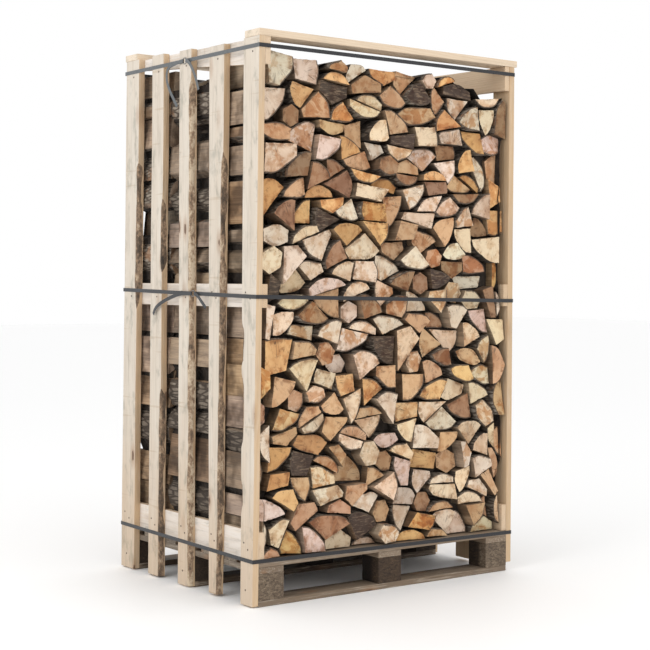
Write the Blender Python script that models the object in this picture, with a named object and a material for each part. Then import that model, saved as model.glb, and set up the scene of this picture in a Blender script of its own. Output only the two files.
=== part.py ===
# A pallet crate of split firewood: a nine-block pallet, two slatted side panels,
# two top boards, three straps with wire buckles, and three rows of stacked logs.
# Metres, +Z up. The origin is on the ground under the middle of the pallet. X runs along
# the long front face from left to right, and the front faces -Y.
import math

import bmesh
import bpy
import numpy as np
from mathutils import Vector
from mathutils.geometry import delaunay_2d_cdt

GAP = 0.0003

DEPTH = 0.960
PALLET_HALF = 0.593
LEAN = 0.036
BLOCK_LONG = 0.108
BLOCK_DEEP = 0.100
BLOCK_TALL = 0.096
BOARD = 0.0215
DECK_BOARDS = 7
DECK_WIDTH = 0.100

SLAT_THICK = 0.026
RAIL_THICK = 0.023
RAIL_SHORT = 0.002
PANEL_TOP = 2.004
BACK_TOP = 2.018
# Lower and upper edge of the rails on each side, at their front and at their back end. The
# lowest ones stand on the deck. The left top rail tapers towards the back.
RAIL_EDGES = {
    "bottom": {-1: ((0.0, 0.265), (0.0, 0.265)), 1: ((0.0, 0.265), (0.0, 0.265))},
    "middle": {-1: ((1.058, 1.142), (1.058, 1.142)), 1: ((1.056, 1.143), (1.060, 1.147))},
    "top": {-1: ((1.907, PANEL_TOP), (1.985, BACK_TOP)), 1: ((1.908, PANEL_TOP), (1.920, BACK_TOP))},
}

# Middle and width of each slat at its foot and at its head along Y, then the heights of
# its two ends, from the back of the crate to the front. The left panel has racked: its
# head has moved forward by LEAN, which these middles leave out.
LEFT_SLATS = (
    ((0.4290, 0.102), (0.4200, 0.104), (0.004, BACK_TOP)),
    ((0.2175, 0.085), (0.2225, 0.089), (0.006, 2.018)),
    ((-0.0085, 0.083), (0.0190, 0.088), (0.004, 2.012)),
    ((-0.2185, 0.062), (-0.2010, 0.106), (0.008, 2.002)),
    ((-0.4410, 0.078), (-0.4290, 0.102), (0.004, PANEL_TOP)),
)
RIGHT_SLATS = (
    ((0.4280, 0.100), (0.4300, 0.098), (0.006, BACK_TOP)),
    ((0.2060, 0.090), (0.2150, 0.082), (0.010, 2.001)),
    ((0.0080, 0.078), (-0.0040, 0.092), (0.004, 2.008)),
    ((-0.2200, 0.094), (-0.2260, 0.080), (0.012, 1.999)),
    ((-0.4310, 0.098), (-0.4315, 0.097), (0.033, PANEL_TOP)),
)
EDGE_WANDER = 0.0022

TOP_BOARD = 0.0245
TOP_BOARD_WIDE = 0.094
TOP_BOARD_OVERHANG = 0.0135

STRAP_WIDE = 0.0140
STRAP_THICK = 0.0009
WIRE = 0.0026
BUCKLE_LONG = 0.0230
BUCKLE_TALL = 0.0240

LOG_GAP = 0.003
SHORTEST_EDGE = 0.014
LOG_RECESS = 0.048
ROW_FACE = 0.4640
ROW_SPLIT = 0.1590
STACK_SIDE = 0.5895
STACK_STEP = 0.003
CONTOUR_SLACK = 0.002
HEART_KNOT = 0.11
HEART_SLACK = 0.020  # how far beyond its own span a log still counts at a knot

WOOD = (0.66, 0.50, 0.31)
WEATHERED = (0.30, 0.235, 0.165)
BLOCK_WOOD = (0.27, 0.18, 0.11)
LOG_WOOD = (0.62, 0.43, 0.26)
STRAP_BLACK = (0.035, 0.036, 0.040)
WIRE_GREY = (0.42, 0.42, 0.41)

deck_low = BOARD + BLOCK_TALL + BOARD + 3 * GAP
deck_top = deck_low + BOARD
floor_height = deck_top + GAP
slat_inner = PALLET_HALF + GAP
slat_outer = slat_inner + SLAT_THICK
rail_inner = PALLET_HALF - RAIL_THICK


def clear_scene():
    for thing in list(bpy.data.objects):
        bpy.data.objects.remove(thing, do_unlink=True)


def material(name, colour, roughness, metallic=0.0):
    found = bpy.data.materials.get(name)
    if found:
        return found
    made = bpy.data.materials.new(name)
    made.use_nodes = True
    shader = made.node_tree.nodes["Principled BSDF"]
    shader.inputs["Base Color"].default_value = (*colour, 1.0)
    shader.inputs["Roughness"].default_value = roughness
    shader.inputs["Metallic"].default_value = metallic
    made.diffuse_color = (*colour, 1.0)
    return made


def add_object(name, work, finish, smooth=False):
    """Puts a bmesh into the scene under its name, with its faces turned outwards."""
    bmesh.ops.recalc_face_normals(work, faces=work.faces[:])
    mesh = bpy.data.meshes.new(name)
    work.to_mesh(mesh)
    work.free()
    mesh.materials.append(finish)
    if smooth:
        mesh.shade_smooth()
        mesh.set_sharp_from_angle(angle=math.radians(40))
    thing = bpy.data.objects.new(name, mesh)
    bpy.context.scene.collection.objects.link(thing)
    return thing


def box(name, low, high, finish):
    """A sawn board or block between two corners."""
    work = bmesh.new()
    bmesh.ops.create_cube(work, size=1.0)
    size = Vector(high) - Vector(low)
    for corner in work.verts:
        corner.co = Vector(low) + Vector(part * (at + 0.5) for part, at in zip(size, corner.co))
    return add_object(name, work, finish)


def pallet():
    """Three skids, nine blocks, three stringers and the deck."""
    old = material("weathered_board", WEATHERED, 0.85)
    pressed = material("pallet_block", BLOCK_WOOD, 0.9)
    across = {"left": -PALLET_HALF + BLOCK_LONG / 2, "middle": 0.0, "right": PALLET_HALF - BLOCK_LONG / 2}
    along = {"front": -(DEPTH - BLOCK_DEEP) / 2, "middle": 0.0, "back": (DEPTH - BLOCK_DEEP) / 2}
    for row, y in along.items():
        low = (-PALLET_HALF, y - BLOCK_DEEP / 2, 0)
        box(f"skid_{row}", low, (PALLET_HALF, y + BLOCK_DEEP / 2, BOARD), old)
        for place, x in across.items():
            start = (x - BLOCK_LONG / 2, y - BLOCK_DEEP / 2, BOARD + GAP)
            end = (x + BLOCK_LONG / 2, y + BLOCK_DEEP / 2, BOARD + GAP + BLOCK_TALL)
            box(f"block_{row}_{place}", start, end, pressed)
    for place, x in across.items():
        start = (x - BLOCK_LONG / 2, -DEPTH / 2, deck_low - GAP - BOARD)
        box(f"stringer_{place}", start, (x + BLOCK_LONG / 2, DEPTH / 2, deck_low - GAP), old)
    pitch = (DEPTH - DECK_WIDTH) / (DECK_BOARDS - 1)
    for k in range(DECK_BOARDS):
        y = -DEPTH / 2 + k * pitch
        box(f"deck_board_{k + 1}", (-PALLET_HALF, y, deck_low), (PALLET_HALF, y + DECK_WIDTH, deck_top), old)


def leaning(side, height):
    """How far forward the racked left panel has moved at a height; the right one stands square."""
    return LEAN * height / PANEL_TOP if side < 0 else 0.0


def slat(name, side, foot, head, ends, rng):
    """One upright slat: it tapers from foot to head, and its sawn edges wander a little."""
    stations = 7
    part = np.linspace(0, 1, stations)
    middle = foot[0] + (head[0] - foot[0]) * part
    half = (foot[1] + (head[1] - foot[1]) * part) / 2
    limit = DEPTH / 2
    back = np.clip(middle + half + rng.uniform(-1, 1, stations) * EDGE_WANDER, -limit, limit)
    front = np.clip(middle - half + rng.uniform(-1, 1, stations) * EDGE_WANDER, -limit, limit)
    height = ends[0] + (ends[1] - ends[0]) * part
    work = bmesh.new()
    rings = []
    for y_front, y_back, z in zip(front, back, height):
        corners = ((slat_inner, y_front), (slat_outer, y_front), (slat_outer, y_back), (slat_inner, y_back))
        rings.append([work.verts.new((side * x, y - leaning(side, z), z)) for x, y in corners])
    for lower, upper in zip(rings, rings[1:]):
        for k in range(4):
            work.faces.new((lower[k], lower[(k + 1) % 4], upper[(k + 1) % 4], upper[k]))
    work.faces.new(rings[0])
    work.faces.new(rings[-1])
    return add_object(name, work, material("sawn_slat", WOOD, 0.75))


def rail(name, side, front, back):
    """A rail inside the slats, with its lower and upper edge at the front and at the back. Its
    upper edge is level under the top boards and rises between them."""
    work = bmesh.new()
    rings = []
    reach = DEPTH / 2 - RAIL_SHORT
    under = reach - TOP_BOARD_WIDE - 0.004
    for y, high in ((-reach, front[1]), (-under, front[1]), (under, back[1]), (reach, back[1])):
        share = (y + reach) / (2 * reach)
        low = max(front[0] + (back[0] - front[0]) * share, floor_height)
        y -= leaning(side, (low + high) / 2)
        corners = ((rail_inner, low), (PALLET_HALF, low), (PALLET_HALF, high), (rail_inner, high))
        rings.append([work.verts.new((side * x, y, z)) for x, z in corners])
    for near, far in zip(rings, rings[1:]):
        for k in range(4):
            work.faces.new((near[k - 1], near[k], far[k], far[k - 1]))
    work.faces.new(rings[0])
    work.faces.new(rings[-1])
    return add_object(name, work, material("sawn_slat", WOOD, 0.75))


def side_panels():
    """On each side five slats nailed outside three rails, the lowest rail standing on the deck."""
    rng = np.random.default_rng(5)
    for word, side, slats in (("left", -1, LEFT_SLATS), ("right", 1, RIGHT_SLATS)):
        for k, (foot, head, ends) in enumerate(slats):
            slat(f"{word}_slat_{k + 1}", side, foot, head, ends, rng)
        for place, edges in RAIL_EDGES.items():
            rail(f"{word}_rail_{place}", side, *edges[side])


def flat_board(name, corners, low, high, finish):
    """A level board with four corners in plan."""
    work = bmesh.new()
    under = [work.verts.new((x, y, low)) for x, y in corners]
    over = [work.verts.new((x, y, high)) for x, y in corners]
    work.faces.new(under)
    work.faces.new(over)
    for k in range(4):
        work.faces.new((under[k - 1], under[k], over[k], over[k - 1]))
    return add_object(name, work, finish)


def top_boards():
    """One board lies on the front slats and the rails, one on the back slats and the rails.
    Both run askew, from the racked left panel to the square right one."""
    sawn = material("sawn_slat", WOOD, 0.75)
    places = {
        "front": (-DEPTH / 2, PANEL_TOP, slat_outer + TOP_BOARD_OVERHANG),
        "back": (DEPTH / 2 - TOP_BOARD_WIDE, BACK_TOP, slat_outer),
    }
    for word, (y, height, right) in places.items():
        left, behind = -slat_outer, y + TOP_BOARD_WIDE
        corners = ((left, y - LEAN), (right, y), (right, behind), (left, behind - LEAN))
        flat_board(f"top_board_{word}", corners, height + GAP, height + GAP + TOP_BOARD, sawn)


def arc_points(centre, radius, start, end, count):
    turn = np.linspace(start, end, count)
    return [(centre[0] + radius * math.cos(a), centre[1] + radius * math.sin(a)) for a in turn]


def strap_route(side, buckle_at, corner_heights, tails):
    """Middle line of one strap: a hanging tail, a fold round the buckle's bar, once round the
    crate, the other fold and the other tail; and the buckle's height. It is drawn with the
    buckle on the left and is turned over in X for a buckle on the right."""
    r = GAP + STRAP_THICK / 2
    x = slat_outer + r
    y = DEPTH / 2 + r
    fold = (WIRE + STRAP_THICK) / 2 + GAP
    bar = BUCKLE_LONG / 2 - WIRE / 2
    near_back, near_front, far_front, far_back = corner_heights
    near, far = leaning(side, near_front), leaning(-side, far_front)
    # Round the back the lowest strap lies against the deck, so the lean doesn't move it there.
    follows = min(corner_heights) > floor_height
    slope = (near_front - near_back) / (2 * y)

    def side_height(at):
        return near_back + slope * (y - near - at)

    route = []
    turned = arc_points((-x - fold, buckle_at + bar), fold, -math.pi, 0, 5)
    route += [(px, py, side_height(buckle_at)) for px, py in turned]
    # Each corner: its side in X and Y, its distance from the middle along Y, and its height.
    corners = (
        (-1, 1, y - near * follows, near_back),
        (1, 1, y - far * follows, far_back),
        (1, -1, -y - far, far_front),
        (-1, -1, -y - near, near_front),
    )
    for k, (to_x, to_y, edge, height) in enumerate(corners):
        start = math.pi - k * math.pi / 2
        bend = arc_points((to_x * (x - r), edge - to_y * r), r, start, start - math.pi / 2, 3)
        across = (to_x * slat_inner, edge)
        bend = [*bend, across] if to_x * to_y < 0 else [across, *bend]
        route += [(px, py, height) for px, py in bend]
    turned = arc_points((-x - fold, buckle_at - bar), fold, 0, -math.pi, 5)
    route += [(px, py, side_height(buckle_at)) for px, py in turned]
    first = [(-slat_outer - out, buckle_at + bar + dy, route[0][2] + dz) for dy, dz, out in tails[0]]
    last = [(-slat_outer - out, buckle_at - bar + dy, route[0][2] + dz) for dy, dz, out in tails[1]]
    return smooth_tail(first)[::-1] + route + smooth_tail(last), route[0][2]


def smooth_tail(points):
    """Two points for each stretch of a tail, cut from its corners (Chaikin's rule)."""
    if len(points) < 3:
        return points
    cut = [points[0]]
    for a, b in zip(points, points[1:]):
        a, b = np.array(a), np.array(b)
        cut += [tuple(a * 0.75 + b * 0.25), tuple(a * 0.25 + b * 0.75)]
    return cut + [points[-1]]


def band(name, route, side, finish):
    """A flat band along a route. It stands upright where the route is level, and keeps its
    face to the side of the crate where a tail turns down."""
    points = np.array(route)
    along = np.gradient(points, axis=0)
    along /= np.linalg.norm(along, axis=1, keepdims=True)
    out = np.stack([along[:, 1], -along[:, 0], np.zeros(len(along))], 1)
    level = np.linalg.norm(out, axis=1, keepdims=True)
    hanging = (level < 0.75).ravel()
    out = np.where(hanging[:, None], (-1.0, 0.0, 0.0), out / np.maximum(level, 1e-6))
    out -= along * (out * along).sum(1, keepdims=True)
    out /= np.linalg.norm(out, axis=1, keepdims=True)
    wide = np.cross(along, out)
    for k in range(1, len(out)):
        if wide[k] @ wide[k - 1] < 0:
            wide[k] *= -1
            out[k] *= -1
    work = bmesh.new()
    rings = []
    for at, n, w in zip(points, out * STRAP_THICK / 2, wide * STRAP_WIDE / 2):
        ring = [at + n + w, at - n + w, at - n - w, at + n - w]
        rings.append([work.verts.new((-side * p[0], p[1], p[2])) for p in ring])
    for lower, upper in zip(rings, rings[1:]):
        for k in range(4):
            work.faces.new((lower[k], lower[(k + 1) % 4], upper[(k + 1) % 4], upper[k]))
    work.faces.new(rings[0])
    work.faces.new(rings[-1])
    return add_object(name, work, finish)


def buckle(name, side, middle, finish):
    """A rounded rectangle of bent wire, whose two upright bars hold the strap's folds."""
    work = bmesh.new()
    corner = 0.004
    long, tall = BUCKLE_LONG / 2 - WIRE / 2, BUCKLE_TALL / 2 - WIRE / 2
    x = slat_outer + GAP + STRAP_THICK + GAP + WIRE / 2
    line = []
    for k, (sy, sz) in enumerate(((1, 1), (-1, 1), (-1, -1), (1, -1))):
        centre = (sy * (long - corner), sz * (tall - corner))
        line += arc_points(centre, corner, k * math.pi / 2, (k + 1) * math.pi / 2, 3)
    rings = []
    for k, (y, z) in enumerate(line):
        before, after = np.array(line[k - 1]), np.array(line[(k + 1) % len(line)])
        along = (after - before) / np.linalg.norm(after - before)
        ring = []
        for a in np.arange(6) * math.pi / 3:
            off = WIRE / 2 * math.cos(a)
            at = (x + WIRE / 2 * math.sin(a), middle[0] + y + along[1] * off, middle[1] + z - along[0] * off)
            ring.append(work.verts.new((side * at[0], at[1], at[2])))
        rings.append(ring)
    for lower, upper in zip(rings, rings[1:] + rings[:1]):
        for k in range(6):
            work.faces.new((lower[k], lower[(k + 1) % 6], upper[(k + 1) % 6], upper[k]))
    return add_object(name, work, finish, smooth=True)


# Height of each strap at the crate's corners (back and front on the buckle's side, then
# front and back on the other), the place of its buckle along Y, and the side the buckle is
# on. A tail is a list of steps along Y and Z from the buckle, with how far it stands off.
STRAPS = {
    "top": ((1.972, 1.971, 1.974, 1.973), -0.015, -1, (
        ((0.004, 0, 0.0052), (0.050, -0.003, 0.0062), (0.104, -0.013, 0.0085), (0.110, -0.053, 0.011),
         (0.087, -0.097, 0.012), (0.050, -0.144, 0.010), (0.036, -0.166, 0.007)),
        ((-0.004, 0, 0.0052), (-0.024, -0.006, 0.0066), (-0.058, -0.034, 0.010), (-0.089, -0.079, 0.012),
         (-0.101, -0.119, 0.009)),
    )),
    "middle": ((1.115, 1.097, 1.078, 1.094), -0.079, -1, (
        ((0.004, 0, 0.0052), (0.080, -0.001, 0.0062), (0.165, -0.022, 0.009), (0.225, -0.043, 0.012),
         (0.258, -0.061, 0.011), (0.277, -0.083, 0.008)),
        ((-0.004, 0, 0.0052), (-0.030, -0.008, 0.0062), (-0.060, -0.030, 0.008), (-0.088, -0.052, 0.007)),
    )),
    "bottom": ((0.166, 0.152, 0.164, 0.176), 0.110, 1, (
        ((0.004, 0, 0.0052), (0.032, 0, 0.0056), (0.052, -0.001, 0.0060)),
        ((-0.004, 0, 0.0052), (-0.030, 0, 0.0056), (-0.048, -0.001, 0.0060)),
    )),
}


def straps():
    black = material("strap_black", STRAP_BLACK, 0.45)
    wire = material("buckle_wire", WIRE_GREY, 0.4, 0.9)
    for word, (heights, at, side, tails) in STRAPS.items():
        route, height = strap_route(side, at, heights, tails)
        band(f"strap_{word}", route, side, black)
        buckle(f"strap_buckle_{word}", side, (at, height), wire)


def touching_arc(radius, sweep, parts):
    """The corners of straight lines that touch an arc on its outside, with the arc's two ends."""
    half = sweep / parts / 2
    angles = [0] + [half * (2 * k + 1) for k in range(parts)] + [sweep]
    radii = [radius] + [radius / math.cos(half)] * parts + [radius]
    return [(r * math.cos(a), r * math.sin(a)) for r, a in zip(radii, angles)]


def cut_off(outline, direction, offset):
    """The part of a convex outline on the near side of a line."""
    side = outline @ np.array((math.cos(direction), math.sin(direction))) - offset
    kept = []
    for here, there, a, b in zip(outline, np.roll(outline, -1, 0), side, np.roll(side, -1)):
        if a <= 0:
            kept.append(here)
        if a * b < 0:
            kept.append(here + (there - here) * (a / (a - b)))
    return np.array(kept)


def log_end(rng, kind):
    """Convex outline of one log's sawn end: split wedge, half log, small round, squared piece or slab."""
    if kind == 0:
        sweep = math.radians(rng.uniform(42, 100))
        radius = min(math.sqrt(2 * rng.uniform(0.0050, 0.0098) / sweep), 0.150)
        outline = np.array([(0, 0)] + touching_arc(radius, sweep, 1 if sweep < 0.95 else 2))
        if rng.random() < 0.22:
            blunt = radius * rng.uniform(0.15, 0.3)
            outline = cut_off(outline, sweep / 2 + math.pi + rng.normal(0, 0.4), -blunt)
    elif kind == 1:
        outline = np.array(touching_arc(rng.uniform(0.052, 0.076), math.radians(rng.uniform(140, 195)), 3))
    elif kind == 2:
        turn = (np.arange(6) + rng.uniform(-0.1, 0.1, 6)) * math.pi / 3
        outline = rng.uniform(0.040, 0.060) * np.stack([np.cos(turn), np.sin(turn)], 1)
    elif kind == 3:
        long, wide, skew = rng.uniform(0.085, 0.125), rng.uniform(0.052, 0.075), rng.uniform(-0.02, 0.02, 3)
        far = ((long, skew[0]), (long * 1.08, wide / 2), (long + skew[1], wide))
        outline = np.array(((0, 0), *far, (skew[2], wide)))
    else:
        long, tall = rng.uniform(0.10, 0.15), rng.uniform(0.030, 0.045)
        outline = np.array(((0, 0), (long, 0), (long * 0.76, tall), (long * 0.26, tall)))
    stretch = rng.uniform(0.86, 1.14)
    return plain(turned(outline, rng.uniform(0, math.pi)) * (stretch, 1 / stretch))


def turned(outline, angle):
    c, s = math.cos(angle), math.sin(angle)
    return outline @ np.array(((c, s), (-s, c)))


def amount(outline):
    x, z = outline.T
    return 0.5 * abs(np.dot(x, np.roll(z, -1)) - np.dot(z, np.roll(x, -1)))


def under_and_over(outline):
    """The outline's left end, and its lowest and highest edge over columns of one step."""
    points = np.roll(outline, -outline[:, 0].argmin(), 0)
    right = points[:, 0].argmax()
    under = points[: right + 1]
    over = np.vstack([points[right:], points[:1]])[::-1]
    columns = int(math.ceil(np.ptp(outline[:, 0]) / STACK_STEP)) + 1
    across = np.minimum(points[0, 0] + STACK_STEP * np.arange(columns), points[right, 0])
    return points[0, 0], np.interp(across, *under.T), np.interp(across, *over.T)


def stack_top(x):
    """The stack's uneven top: a little higher at the left, falling away at the right."""
    wave = 0.006 * np.sin(9 * x + 1) + 0.005 * np.sin(21 * x)
    return 1.953 - 0.012 * x + wave - 0.080 * np.clip((x - 0.40) / 0.19, 0, 1)


def stacked_logs(seed, scale):
    """Logs dropped one by one onto the stack. Each goes where it wastes least room below
    itself, lies low and leaves the top of the stack even, out of several shapes and turns.
    Once a log doesn't fit below the stack's top, the next ones are smaller."""
    rng = np.random.default_rng(seed)
    windows = np.lib.stride_tricks.sliding_window_view
    half = STACK_SIDE - 0.004
    columns = int(2 * half / STACK_STEP)
    height = np.full(columns, floor_height + 0.002)
    limit = stack_top(-half + np.arange(columns) * STACK_STEP)
    logs = []
    misses = 0
    while misses < 12:
        best = None
        kind = rng.choice(5, p=(0.54, 0.19, 0.10, 0.12, 0.05))
        for _ in range(6):
            shape = log_end(rng, kind) * scale * (1 - 0.035 * misses)
            for k in range(18):
                outline = turned(shape, 2 * math.pi * (k + rng.random()) / 18)
                start, low, high = under_and_over(outline)
                n = len(low)
                below = windows(height, n)
                rise = (below - low).max(1)
                fits = rise + high.max() <= windows(limit, n).min(1)
                if not fits.any():
                    continue
                waste = (rise[:, None] + low - below).sum(1) * STACK_STEP
                edge = np.concatenate([height[:1], height, height[-1:]])
                places = len(rise)
                jumps = np.abs(edge[:places] - rise - high[0]) + np.abs(np.diff(high)).sum()
                jumps += np.abs(edge[n + 1 : n + 1 + places] - rise - high[-1])
                jumps -= windows(np.abs(np.diff(edge)), n + 1).sum(1)
                score = waste / amount(shape) + 1.2 * jumps + 3.0 * (rise + high.max() - height.min())
                score = np.where(fits, score, np.inf)
                place = int(score.argmin())
                if best is None or score[place] < best[0]:
                    best = score[place], place, rise[place], outline, start, high
        if best is None:
            misses += 1
            continue
        _, place, rise, outline, start, high = best
        span = slice(place, place + len(high))
        height[span] = np.maximum(height[span], rise + high)
        logs.append(outline + (-half + place * STACK_STEP - start, rise))
    return logs


def facings(outline):
    """Unit normals that point out of the outline's edges."""
    along = np.roll(outline, -1, 0) - outline
    out = np.stack([along[:, 1], -along[:, 0]], 1)
    return out / np.linalg.norm(out, axis=1, keepdims=True)


def plain(outline):
    """The outline without its hollow corners and its shortest edges."""
    while len(outline) > 3:
        before = outline - np.roll(outline, 1, 0)
        after = np.roll(outline, -1, 0) - outline
        hollow = before[:, 0] * after[:, 1] - before[:, 1] * after[:, 0] < 2e-5
        drop = np.flatnonzero(hollow | (np.hypot(*after.T) < SHORTEST_EDGE))
        if not len(drop):
            break
        outline = np.delete(outline, drop[0], 0)
    return outline


def inset(outline, distance):
    n = facings(outline)
    before = np.roll(n, 1, 0)
    return plain(outline - distance * (n + before) / (1 + (n * before).sum(1))[:, None])


def clearance(outline, others, other_facings):
    """The least distance to any of the other convex outlines, along the side that parts them best."""
    own = facings(outline)
    a = (others @ own.T).min(1) - (outline @ own.T).max(0)
    b = np.einsum("vd,ked->kve", outline, other_facings).min(1)
    c = np.einsum("kvd,ked->kve", others, other_facings).max(1)
    return np.maximum(a.max(1), (b - c).max(1)).min()


def side_limit(low, high):
    """How far out a log may reach: to the slats, or only to the rails where it is level with one."""
    for edges in RAIL_EDGES.values():
        start = min(edges[side][end][0] for side in (-1, 1) for end in (0, 1))
        top = max(edges[side][end][1] for side in (-1, 1) for end in (0, 1))
        if low < top + 0.003 and high > start - 0.003:
            return rail_inner - 0.003
    return STACK_SIDE


def squeezed(outline):
    """The outline pressed back inside its side limit."""
    limit = side_limit(outline[:, 1].min(), outline[:, 1].max())
    outline = outline.copy()
    for side in (-1, 1):
        reach = (side * outline[:, 0]).max()
        if reach > limit:
            inner = (side * outline[:, 0]).min()
            share = (limit - inner) / (reach - inner)
            outline[:, 0] = side * (inner + (side * outline[:, 0] - inner) * share)
    return outline


def settled_logs(seed, scale):
    """The stacked outlines with a gap between neighbours, each swollen into the room beside it."""
    logs = [squeezed(inset(o, LOG_GAP / 2)) for o in stacked_logs(seed, scale)]
    rng = np.random.default_rng(seed + 1)
    counts = [len(o) for o in logs]
    most = max(counts)
    points = np.array([np.vstack([o, np.repeat(o[-1:], most - len(o), 0)]) for o in logs])
    normals = np.array([np.vstack([facings(o), np.repeat(facings(o)[-1:], most - len(o), 0)]) for o in logs])
    sizes = np.array([amount(o) for o in logs])
    middles = points.mean(1)
    everyone = np.arange(len(logs))
    spacing = np.hypot(*(middles[:, None] - middles[None]).transpose(2, 0, 1))
    near = [np.flatnonzero((spacing[i] < 0.24) & (everyone != i)) for i in everyone]

    def place_log(i, outline):
        fresh = facings(outline)
        points[i] = np.vstack([outline, np.repeat(outline[-1:], most - len(outline), 0)])
        normals[i] = np.vstack([fresh, np.repeat(fresh[-1:], most - len(outline), 0)])

    for i in np.tile(everyone, 8):
        outline = points[i, : counts[i]]
        if clearance(outline, points[near[i]], normals[near[i]]) < LOG_GAP / 2:
            smaller = inset(outline, LOG_GAP / 4)
            counts[i] = len(smaller)
            place_log(i, smaller)
    for i in np.concatenate([rng.permutation(len(logs)) for _ in range(50)]):
        outline = points[i, : counts[i]]
        angle = rng.uniform(0, 2 * math.pi)
        way = np.array((math.cos(angle), math.sin(angle)))
        along = outline @ way
        trial = outline + np.outer((along - along.min()) * rng.uniform(0.01, 0.08), way)
        trial = trial + rng.normal(0, 0.0015, 2) * (rng.random() < 0.5)
        spans = np.ptp(trial @ np.array(((1, 0, 0.7071, 0.7071), (0, 1, 0.7071, -0.7071))), axis=0)
        low, high = trial[:, 1].min(), trial[:, 1].max()
        if amount(trial) > min(1.7 * sizes[i], 0.0135) or spans.max() > min(0.165, 3 * spans.min()):
            continue
        if np.abs(trial[:, 0]).max() > side_limit(low, high) or low < floor_height + 0.002:
            continue
        if (trial[:, 1] > stack_top(trial[:, 0])).any():
            continue
        if clearance(trial, points[near[i]], normals[near[i]]) < LOG_GAP:
            continue
        place_log(i, trial)
    return [points[i, : counts[i]] for i in range(len(logs))]


def heart_edges(logs):
    """Where the packed heart of a row ends, as knots along Z for its two sides and along X for
    its top: at each knot it reaches the middle of the outermost log there."""
    lows = np.array([o.min(0) for o in logs])
    highs = np.array([o.max(0) for o in logs])
    middles = np.array([o.mean(0) for o in logs])
    knots = []
    low = floor_height + 0.03
    for axis, sign, start, end in ((1, -1, low, 1.95), (1, 1, low, 1.95), (0, 1, -0.575, 0.575)):
        found = []
        for at in np.linspace(start, end, int((end - start) / HEART_KNOT)):
            there = middles[(lows[:, axis] < at + HEART_SLACK) & (highs[:, axis] > at - HEART_SLACK), 1 - axis]
            if len(there):
                found.append((at, sign * (sign * there).max()))
        knots.append(np.array(found))
    return knots


def row_plan(logs):
    """Triangles of the row's end seen from the front, each with the number of its log, or -1
    for the packed heart behind the gaps. A log that the heart doesn't hold is left out."""
    left, right, top = heart_edges(logs)
    low = floor_height + 0.018
    lines = [left[:, ::-1], right[:, ::-1], top, np.array(((-0.6, low), (0.6, low)))]
    corners = [Vector(p) for s in logs + lines for p in s]
    starts = np.cumsum([0] + [len(s) for s in logs + lines])
    rings = [list(range(a, b)) for a, b in zip(starts[: len(logs)], starts[1:])]
    lines_at = zip(starts[len(logs) :], starts[len(logs) + 1 :])
    joins = [(k, k + 1) for a, b in lines_at for k in range(a, b - 1)]
    places, _, faces, _, _, owners = delaunay_2d_cdt(corners, joins, rings, 0, 1e-6)
    places = np.array([tuple(p) for p in places])
    kept = []
    for face, owned in zip(faces, owners):
        x, z = places[list(face)].mean(0)
        inside = np.interp(z, *left.T) < x < np.interp(z, *right.T) and low < z < np.interp(x, *top.T)
        if owned or inside:
            kept.append((tuple(face), owned[0] if owned else -1))
    held = {r[k][2] for r in edges_of(kept).values() if len(r) == 2 and r[0][2] != r[1][2] for k in (0, 1)}
    return places, [(face, owner) for face, owner in kept if owner in held]


def edges_of(kept):
    """For each edge of the plan, the triangles on its two sides, in the order the edge runs."""
    sides = {}
    for face, owner in kept:
        for a, b in zip(face, face[1:] + face[:1]):
            sides.setdefault((min(a, b), max(a, b)), []).append((a, b, owner))
    return sides


def rim_loop(kept):
    """The numbers of the plan's outer points, in order round it."""
    following = {a: b for a, b, _ in (runs[0] for runs in edges_of(kept).values() if len(runs) == 1)}
    loop = [next(iter(following))]
    while following[loop[-1]] != loop[0]:
        loop.append(following[loop[-1]])
    return loop


def straightened(points):
    """A closed line without the points that lie almost on the line between their neighbours."""
    kept = list(points)
    k = 0
    while k < len(kept):
        a, b, c = (np.array(kept[(k + step) % len(kept)]) for step in (-1, 0, 1))
        along = (c - a) / np.linalg.norm(c - a)
        if abs(along[0] * (b - a)[1] - along[1] * (b - a)[0]) < CONTOUR_SLACK:
            kept.pop(k)
            k = max(k - 1, 0)
        else:
            k += 1
    return kept


def ladder(work, left, right):
    """Fills the wall between two upright lines of points, each given from front to back."""
    i = j = 0
    while i < len(left) - 1 or j < len(right) - 1:
        step_left = j == len(right) - 1 or (i < len(left) - 1 and left[i + 1].co.y <= right[j + 1].co.y)
        if step_left:
            work.faces.new((left[i], right[j], left[i + 1]))
            i += 1
        else:
            work.faces.new((left[i], right[j], right[j + 1]))
            j += 1


def log_row(name, logs, faces_at, facing):
    """One row as a closed solid: every log end at its own depth, the gaps sunk between them.
    Depths run from the row's open end (small) to its hidden end; facing is -1 for the front."""
    places, kept = row_plan(logs)
    sides = edges_of(kept)
    sunk = -ROW_FACE + LOG_RECESS
    hidden = -ROW_SPLIT - GAP
    depth_of = dict(enumerate(faces_at))
    depth_of[-1] = sunk
    levels = {}
    for face, owner in kept:
        for v in face:
            levels.setdefault(v, set()).add(depth_of[owner])
    rim = [runs[0] for runs in sides.values() if len(runs) == 1]
    for a, b, _ in rim:
        levels[a].add(hidden)
        levels[b].add(hidden)
    work = bmesh.new()
    point = {}
    for v, depths in levels.items():
        for y in depths:
            point[v, y] = work.verts.new((places[v][0], y, places[v][1]))
    for face, owner in kept:
        work.faces.new([point[v, depth_of[owner]] for v in face])
    for runs in sides.values():
        a, b, owner = runs[0]
        near = depth_of[owner]
        far = hidden if len(runs) == 1 else depth_of[runs[1][2]]
        low, high = min(near, far), max(near, far)
        if low == high:
            continue
        line = [[point[v, y] for y in sorted(levels[v]) if low <= y <= high] for v in (a, b)]
        ladder(work, line[0], line[1])
    work.faces.new([point[v, hidden] for v in rim_loop(kept)])
    if facing > 0:
        for v in work.verts:
            v.co.y = -v.co.y
    return add_object(name, work, material("firewood", LOG_WOOD, 0.8))


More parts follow.
